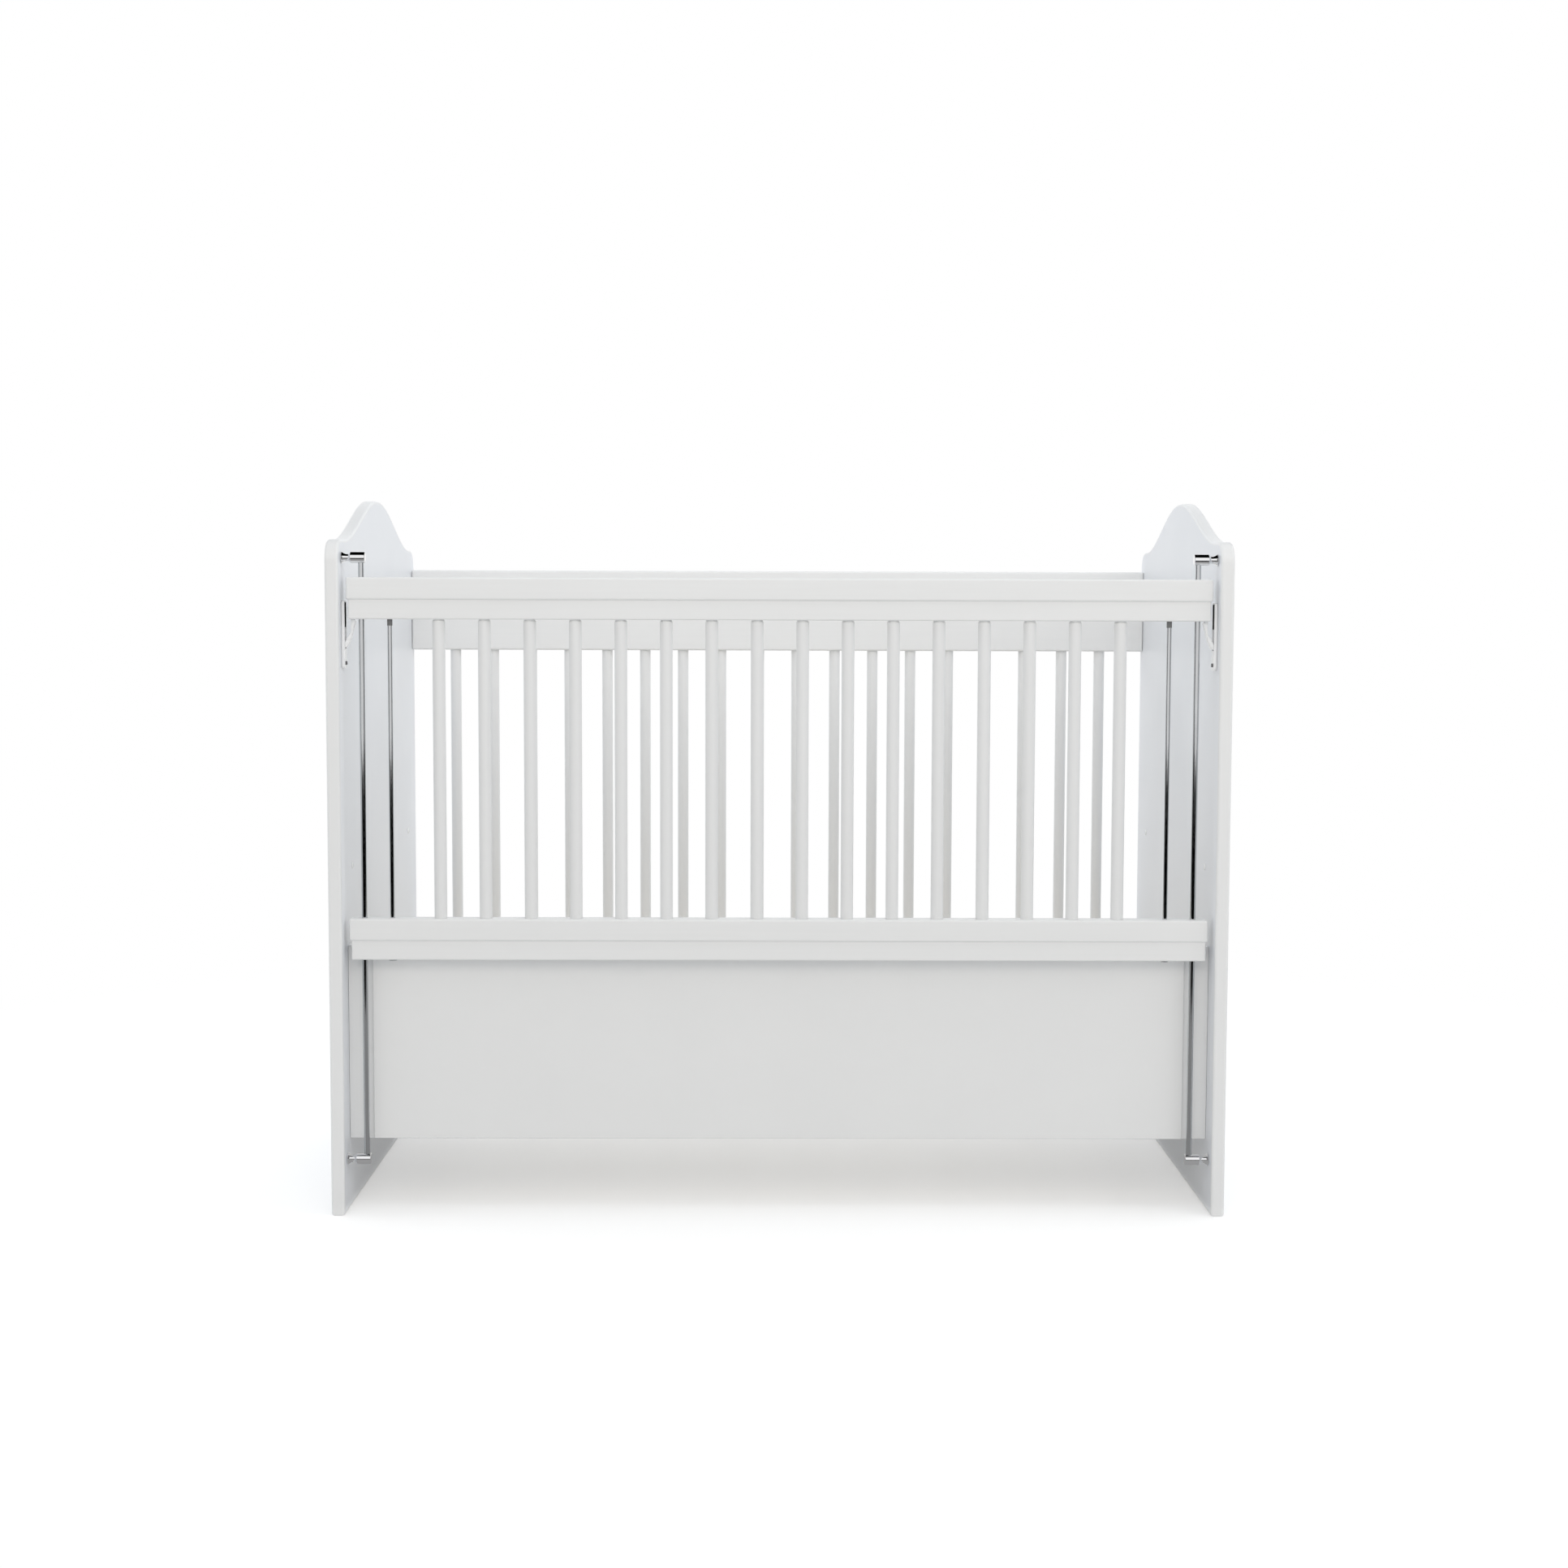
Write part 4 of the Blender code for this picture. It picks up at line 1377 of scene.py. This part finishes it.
@dataclass
class Catches:
    """The sprung catches: plates on the boards' inner faces, pockets of painted shade, screws and tongues.

    Attributes:
        corner: The radius of a plate's corners.
        corner_steps: The steps of a corner.
        rim: The radius of its edges.
        rim_steps: The steps of the plate's and the tongue's edges.
        top_rim: From the window to the plate's top.
        window_width: The width of the window.
        window_foot: From the tongue's foot to the window's.
        screw_up: From the plate's foot to its screw.
        screw_radius: The radius of the screw's head.
        screw_bore: The radius of its hole.
        screw_head: How far its head stands out.
        screw_turns: Where the points of its round head lie.
        screw_steps: The steps round it.
        sink_share: The depth of its hole as a share of the plate's thickness.
        shank_share: Its shank as a share of the hole's radius.
        rise_share: The round part of its head as a share of the head.
        slot_share: Half of its slot's width as a share of its radius.
        pocket_foot_share: The pocket's foot as a share of the window's height.
        liner: The thickness of the pocket's walls.
        proud: How far the pocket's floor stands out of the end board.
        tongue_width: The tongue's width.
        tongue_rounding: The radius of its edges.
        reach_shares: The tongue's outline from the end board, as shares of its reach.
        length_shares: The same up from its pivot, as shares of its length.
    """

    corner: float = 0.004
    corner_steps: int = 8
    rim: float = 0.0006
    rim_steps: int = 3
    top_rim: float = 0.002
    window_width: float = 0.0126
    window_foot: float = 0.0008
    screw_up: float = 0.0074
    screw_radius: float = 0.0027
    screw_bore: float = 0.0018
    screw_head: float = 0.0024
    screw_turns: tuple[float, ...] = (0.0, 0.3, 0.6, 0.9, 1.2)
    screw_steps: int = 28
    sink_share: float = 0.6
    shank_share: float = 0.94
    rise_share: float = 0.6
    slot_share: float = 0.16
    pocket_foot_share: float = 0.46
    liner: float = 0.0003
    proud: float = 0.00008
    tongue_width: float = 0.0112
    tongue_rounding: float = 0.0006
    reach_shares: tuple[float, ...] = (0.034, 0.215, 0.400, 0.660, 1.000, 0.880, 0.685, 0.685, 0.120)
    length_shares: tuple[float, ...] = (-0.0313, -0.0313, 0.020, 0.300, 0.925, 1.000, 1.000, 0.550, 0.100)

    def make(self) -> None:
        """Makes the plates, pockets, screws and tongues."""
        for side in Side:
            self.plate(side)
            self.tongue(side)

    def outline(self, base: float, low: Vector, high: Vector) -> list[Vector]:
        """Returns a plate's outline.

        Args:
            base: Where it lies along X.
            low: The plate's lowest corner.
            high: Its highest corner.

        Returns:
            The points, round from the back.
        """
        near, far = low.y + self.corner, high.y - self.corner
        below, above = low.z + self.corner, high.z - self.corner
        points = []
        for quarter, centre in enumerate(((far, above), (near, above), (near, below), (far, below))):
            points += arc(centre, self.corner, 90 * quarter, 90 * quarter + 90, self.corner_steps)
        return [Vector((base, y, z)) for y, z in points]

    def plate(self, side: Side) -> None:
        """Makes one plate with its window, its screw and its pocket of painted shade."""
        node = f"latch_plate_{side.word}"
        low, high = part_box(node)
        base, face = side.reach(node)
        thickness = face - base
        plate = slab(self.outline(base, low, high), Vector((thickness, 0, 0)), self.rim, self.rim_steps)
        across, half = (low.y + high.y) / 2, self.window_width / 2
        foot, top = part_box(f"latch_tongue_{side.word}")[0].z - self.window_foot, high.z - self.top_rim
        near, far = sorted((base - thickness, face + thickness))
        window = box((near, across - half, foot), (far, across + half, top))
        seat = Vector((face, across, low.z + self.screw_up))
        tip = seat - side.inward * (abs(thickness) * self.sink_share)
        hole = pin(self.screw_bore, tip, seat + side.inward * self.rim, 0.0)
        plate = carve(plate, together(window, hole))
        piece(f"{side.word}_catch_plate", plate, MOULDING, Body.FRAME, [node])
        self.screw(side, seat, tip)
        pocket_foot = foot + (top - foot) * self.pocket_foot_share
        self.pocket(side, (base, across - half, pocket_foot), (face, across + half, top))

    def pocket(self, side: Side, low: Triple, high: Triple) -> None:
        """Makes the black floor and walls behind one tongue's upper part: a thin lining that paints the shade
        in the window.

        Args:
            side: The end of the crib.
            low: The pocket's lowest corner, at the end board.
            high: Its highest corner, at the plate's face.
        """
        inward, liner = side.inward.x, self.liner
        near, far = sorted((low[0] + inward * (self.proud - liner), low[0] + inward * self.proud))
        pocket = box((near, *low[1:]), (far, *high[1:]))
        near, far = sorted((low[0], high[0] - inward * liner))
        for y_low, y_high, z_low in (
            (low[1], low[1] + liner, low[2]),
            (high[1] - liner, high[1], low[2]),
            (low[1], high[1], high[2] - liner),
        ):
            pocket = carve(pocket, box((near, y_low, z_low), (far, y_high, high[2])), Work.JOIN)
        # A black lining: painted shade in the catch's window, where the recess is dark.
        piece(f"{side.word}_catch_pocket", pocket, CATCH_WINDOW_SHADE, Body.FRAME)

    def screw(self, side: Side, seat: Vector, tip: Vector) -> None:
        """Makes the slotted round-head screw of one plate.

        Args:
            side: The end of the crib.
            seat: Where the head stands on the plate.
            tip: The inner end of the shank.
        """
        under, tall, radius = (seat - tip).length, self.screw_head, self.screw_radius
        shank, rise = self.screw_bore * self.shank_share, tall * self.rise_share
        profile = [(0, 0), (shank, 0), (shank, under), (radius, under)]
        profile += dome(radius, under + tall - rise, rise, self.screw_turns)
        near, far = sorted((seat.x + side.inward.x * rise, seat.x + side.inward.x * tall * 2))
        slot_half = radius * self.slot_share
        slot = box((near, seat.y - radius, seat.z - slot_half), (far, seat.y + radius, seat.z + slot_half))
        screw = carve(turned(profile, tip, side.inward, self.screw_steps), slot)
        piece(f"{side.word}_plate_screw", screw, SCREW_STEEL, Body.FRAME)

    def tongue(self, side: Side) -> None:
        """Makes one tongue."""
        node = f"latch_tongue_{side.word}"
        low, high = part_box(node)
        face = side.reach(f"end_board_{side.word}")[1]
        reach = side.reach(node)[1] - face
        length = (high.z - low.z) / (1 - self.length_shares[0])
        y, foot = (low.y + high.y) / 2 - self.tongue_width / 2, high.z - length
        shares = zip(self.reach_shares, self.length_shares)
        points = [Vector((face + out * reach, y, foot + up * length)) for out, up in shares]
        tongue = slab(points, Vector((0, self.tongue_width, 0)), self.tongue_rounding, self.rim_steps)
        piece(f"{side.word}_catch_tongue", tongue, MOULDING, side.tongue, [node])


# Studio


@dataclass(frozen=True)
class Lamp:
    """A soft lamp.

    Attributes:
        name: Its name.
        place: Where it hangs.
        target: What it points at.
        size: Its width and height.
        power: Its power in watts.
        colour: Its colour.
    """

    name: str
    place: Triple
    target: Triple
    size: Pair
    power: float
    colour: Triple = (1.0, 1.0, 1.0)

    def make(self) -> None:
        """Hangs the lamp."""
        data = bpy.data.lights.new(self.name, "AREA")
        data.shape = "RECTANGLE"
        data.size, data.size_y = self.size
        data.energy = self.power
        data.color = self.colour
        lamp = placed(self.name, data)
        turn = (Vector(self.target) - Vector(self.place)).to_track_quat("-Z", "Y")
        lamp.matrix_world = Matrix.Translation(self.place) @ turn.to_matrix().to_4x4()
        lamp.visible_glossy = lamp.visible_camera = False


@dataclass(frozen=True)
class Card:
    """A card, level or upright, that only mirroring surfaces see.

    Attributes:
        name: Its name.
        low: Its lowest corner.
        high: Its highest corner.
        shade: Its brightness.
    """

    name: str
    low: Triple
    high: Triple
    shade: float = 0.0

    def corners(self) -> list[Triple]:
        """Returns its four corners, round from the lowest."""
        (x, y, z), (far_x, far_y, far_z) = self.low, self.high
        if z == far_z:
            return [(x, y, z), (far_x, y, z), (far_x, far_y, z), (x, far_y, z)]
        return [(x, y, z), (far_x, far_y, z), (far_x, far_y, far_z), (x, y, far_z)]

    def make(self) -> None:
        """Sets the card up."""
        build = bmesh.new()
        build.faces.new([build.verts.new(corner) for corner in self.corners()])
        material, graph = new_look(self.name)
        graph.surface(graph.add("Emission", Color=WHITE_LIGHT, Strength=self.shade))
        card = placed(self.name, baked(self.name, build))
        card.data.materials.append(material)
        card.visible_camera = card.visible_diffuse = card.visible_shadow = False
        card.visible_transmission = card.visible_volume_scatter = False


LAMPS = (
    Lamp("front_lamp", (0, -3.8, 2.6), (0, 0, 0.6), (3.0, 1.6), 28.0, (1.0, 0.91, 0.80)),
    Lamp("right_lamp", (3.0, -1.6, 2.6), (0, 0, 0.6), (2.0, 1.6), 14.0),
    Lamp("left_side_lamp", (-3.4, 0.3, 1.6), (0, 0, 0.8), (2.0, 1.6), 17.0, (0.94, 0.98, 1.04)),
    Lamp("right_side_lamp", (3.4, 0.3, 1.6), (0, 0, 0.8), (2.0, 1.6), 12.0, (0.94, 0.98, 1.04)),
    Lamp("overhead_lamp", (0, -0.5, 2.1), (0, 0.3, 0.7), (1.8, 0.7), 4.0, (0.91, 0.97, 1.05)),
    Lamp("back_lamp", (0, 3.2, 2.8), (0, 0, 0.6), (3.0, 1.6), 30.0, (0.92, 0.97, 1.03)),
    Lamp("low_back_lamp", (0, 3.4, 1.4), (0, 0, 0.6), (3.0, 1.6), 4.0),
)
CARDS = (
    Card("ceiling_card", (-4, -1.73, 2.6), (4, 2.6, 2.6)),
    Card("near_floor_card", (-3, -3.3, 0.01), (3, -1.9, 0.01)),
    Card("floor_card", (-3, -1.9, 0.01), (3, 0.6, 0.01), 0.34),
    Card("front_low_card", (-3, -3.3, 0), (3, -3.3, 0.42)),
    Card("left_low_card", (-3, -3.3, 0), (-3, 0.5, 0.42)),
    Card("left_wall_card", (-3, -2.6, 0.42), (-3, 0.5, 2.2), 0.18),
    Card("right_low_card", (3, -3.3, 0), (3, 0.5, 0.42)),
    Card("right_wall_card", (3, -2.6, 0.42), (3, 0.5, 2.2), 0.18),
)


@dataclass
class Studio:
    """The camera, the lamps, the floor and the cards that the steel mirrors.

    Attributes:
        place: The camera's place.
        yaw: Its turn to the left, in radians.
        pitch: Its tilt down.
        roll: Its roll.
        focal: Its focal length in pixels of the photograph.
        pixels: The photograph's side in pixels.
        ambient: The colour of the light from all round.
        ambient_strength: Its strength.
        sensor: The camera's sensor, in millimetres.
        clip: How far the camera sees.
        floor_half: Half of the floor's side.
        floor_drop: How far it lies under the crib's feet.
        floor_shade: Its own grey.
        floor_roughness: Its roughness.
        floor_reach: How far from the middle it starts to turn white, and where it is white.
        floor_glow: Its own light as the camera sees it.
    """

    place: Triple = (-0.0179, -3.5499, 0.85)
    yaw: float = -0.00746
    pitch: float = 0.07534
    roll: float = 0.00301
    focal: float = 2861.46
    pixels: int = 1932
    ambient: Triple = (0.985, 1.0, 1.01)
    ambient_strength: float = 0.685
    sensor: float = 36.0
    clip: float = 100.0
    floor_half: float = 30.0
    floor_drop: float = 0.0004
    floor_shade: float = 0.80
    floor_roughness: float = 0.9
    floor_reach: Pair = (0.7, 2.2)
    floor_glow: float = 0.30

    def camera(self) -> None:
        """Makes the camera, as the photograph was taken."""
        data = bpy.data.cameras.new("camera")
        data.sensor_width = self.sensor
        data.lens = self.focal / self.pixels * self.sensor
        data.clip_end = self.clip
        camera = placed("camera", data)
        right = Vector((math.cos(self.yaw), math.sin(self.yaw), 0))
        level = Vector((-math.sin(self.yaw), math.cos(self.yaw), 0))
        ahead = math.cos(self.pitch) * level - math.sin(self.pitch) * UP
        over = right.cross(ahead)
        across = math.cos(self.roll) * right + math.sin(self.roll) * over
        up = -math.sin(self.roll) * right + math.cos(self.roll) * over
        turn = Matrix((across, up, -ahead)).transposed().to_4x4()
        camera.matrix_world = Matrix.Translation(self.place) @ turn
        bpy.context.scene.camera = camera

    def world(self) -> None:
        """Lights the scene from all round, and shows white to the camera and to what mirrors it."""
        world = bpy.data.worlds.new("studio")
        world.use_nodes = True
        graph = Graph(world.node_tree)
        light = world.node_tree.nodes["Background"]
        light.inputs["Color"].default_value = (*self.ambient, 1.0)
        light.inputs["Strength"].default_value = self.ambient_strength
        white = graph.add("Background", Color=WHITE_LIGHT, Strength=1.0)
        graph.surface(graph.mix(self.shown(graph), light, white), "World Output")
        bpy.context.scene.world = world

    @staticmethod
    def shown(graph: Graph) -> Socket:
        """Returns a value that is 1 for camera, glossy and transmission rays."""
        rays = graph.add("LightPath").outputs
        either = graph.maths(rays["Is Camera Ray"], "MAXIMUM", rays["Is Glossy Ray"])
        return graph.maths(either, "MAXIMUM", rays["Is Transmission Ray"])

    def floor_look(self) -> bpy.types.Material:
        """Returns the floor's look: pale and shadowed near the crib, white further out."""
        material, graph = new_look("floor")
        shader = material.node_tree.nodes["Principled BSDF"]
        shader.inputs["Base Color"].default_value = (*[self.floor_shade] * 3, 1.0)
        shader.inputs["Roughness"].default_value = self.floor_roughness
        shader.inputs["Specular IOR Level"].default_value = 0.0
        place = graph.add("TexCoord").outputs["Object"]
        distance = graph.chain(place, "VectorMath", "Vector", operation="LENGTH")
        far = graph.chain(distance.outputs["Value"], "MapRange", "Value", interpolation_type="SMOOTHSTEP")
        far.inputs["From Min"].default_value, far.inputs["From Max"].default_value = self.floor_reach
        share = graph.maths(far.outputs["Result"], "MULTIPLY", self.shown(graph))
        lift = graph.maths(self.shown(graph), "MULTIPLY", self.floor_glow)
        glow = graph.chain(lift, "Emission", "Strength", Color=WHITE_LIGHT)
        near = graph.add("AddShader")
        graph.link(shader.outputs[0], near.inputs[0])
        graph.link(glow.outputs[0], near.inputs[1])
        white = graph.add("Emission", Color=WHITE_LIGHT, Strength=1.0)
        graph.surface(graph.mix(share, near, white))
        return material

    def floor(self) -> None:
        """Makes the floor that keeps the crib's shadow."""
        build = bmesh.new()
        bmesh.ops.create_grid(build, x_segments=1, y_segments=1, size=self.floor_half)
        bmesh.ops.translate(build, vec=(0, 0, -self.floor_drop), verts=build.verts)
        plane = placed("floor", baked("floor", build))
        plane.data.materials.append(self.floor_look())

    def make(self) -> None:
        """Makes the whole studio."""
        self.camera()
        self.world()
        self.floor()
        for thing in (*CARDS, *LAMPS):
            thing.make()
        bpy.context.scene.view_settings.view_transform = "Standard"


def main() -> None:
    """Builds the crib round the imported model."""
    logging.basicConfig(level=logging.INFO, format="%(name)s: %(message)s")
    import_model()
    Studio().make()
    for assembly in (EndBoards, BackSide, LowerPanel, MattressBase, GuideRods, Catches, DropSide):
        assembly().make()


if __name__ == "__main__":
    main()
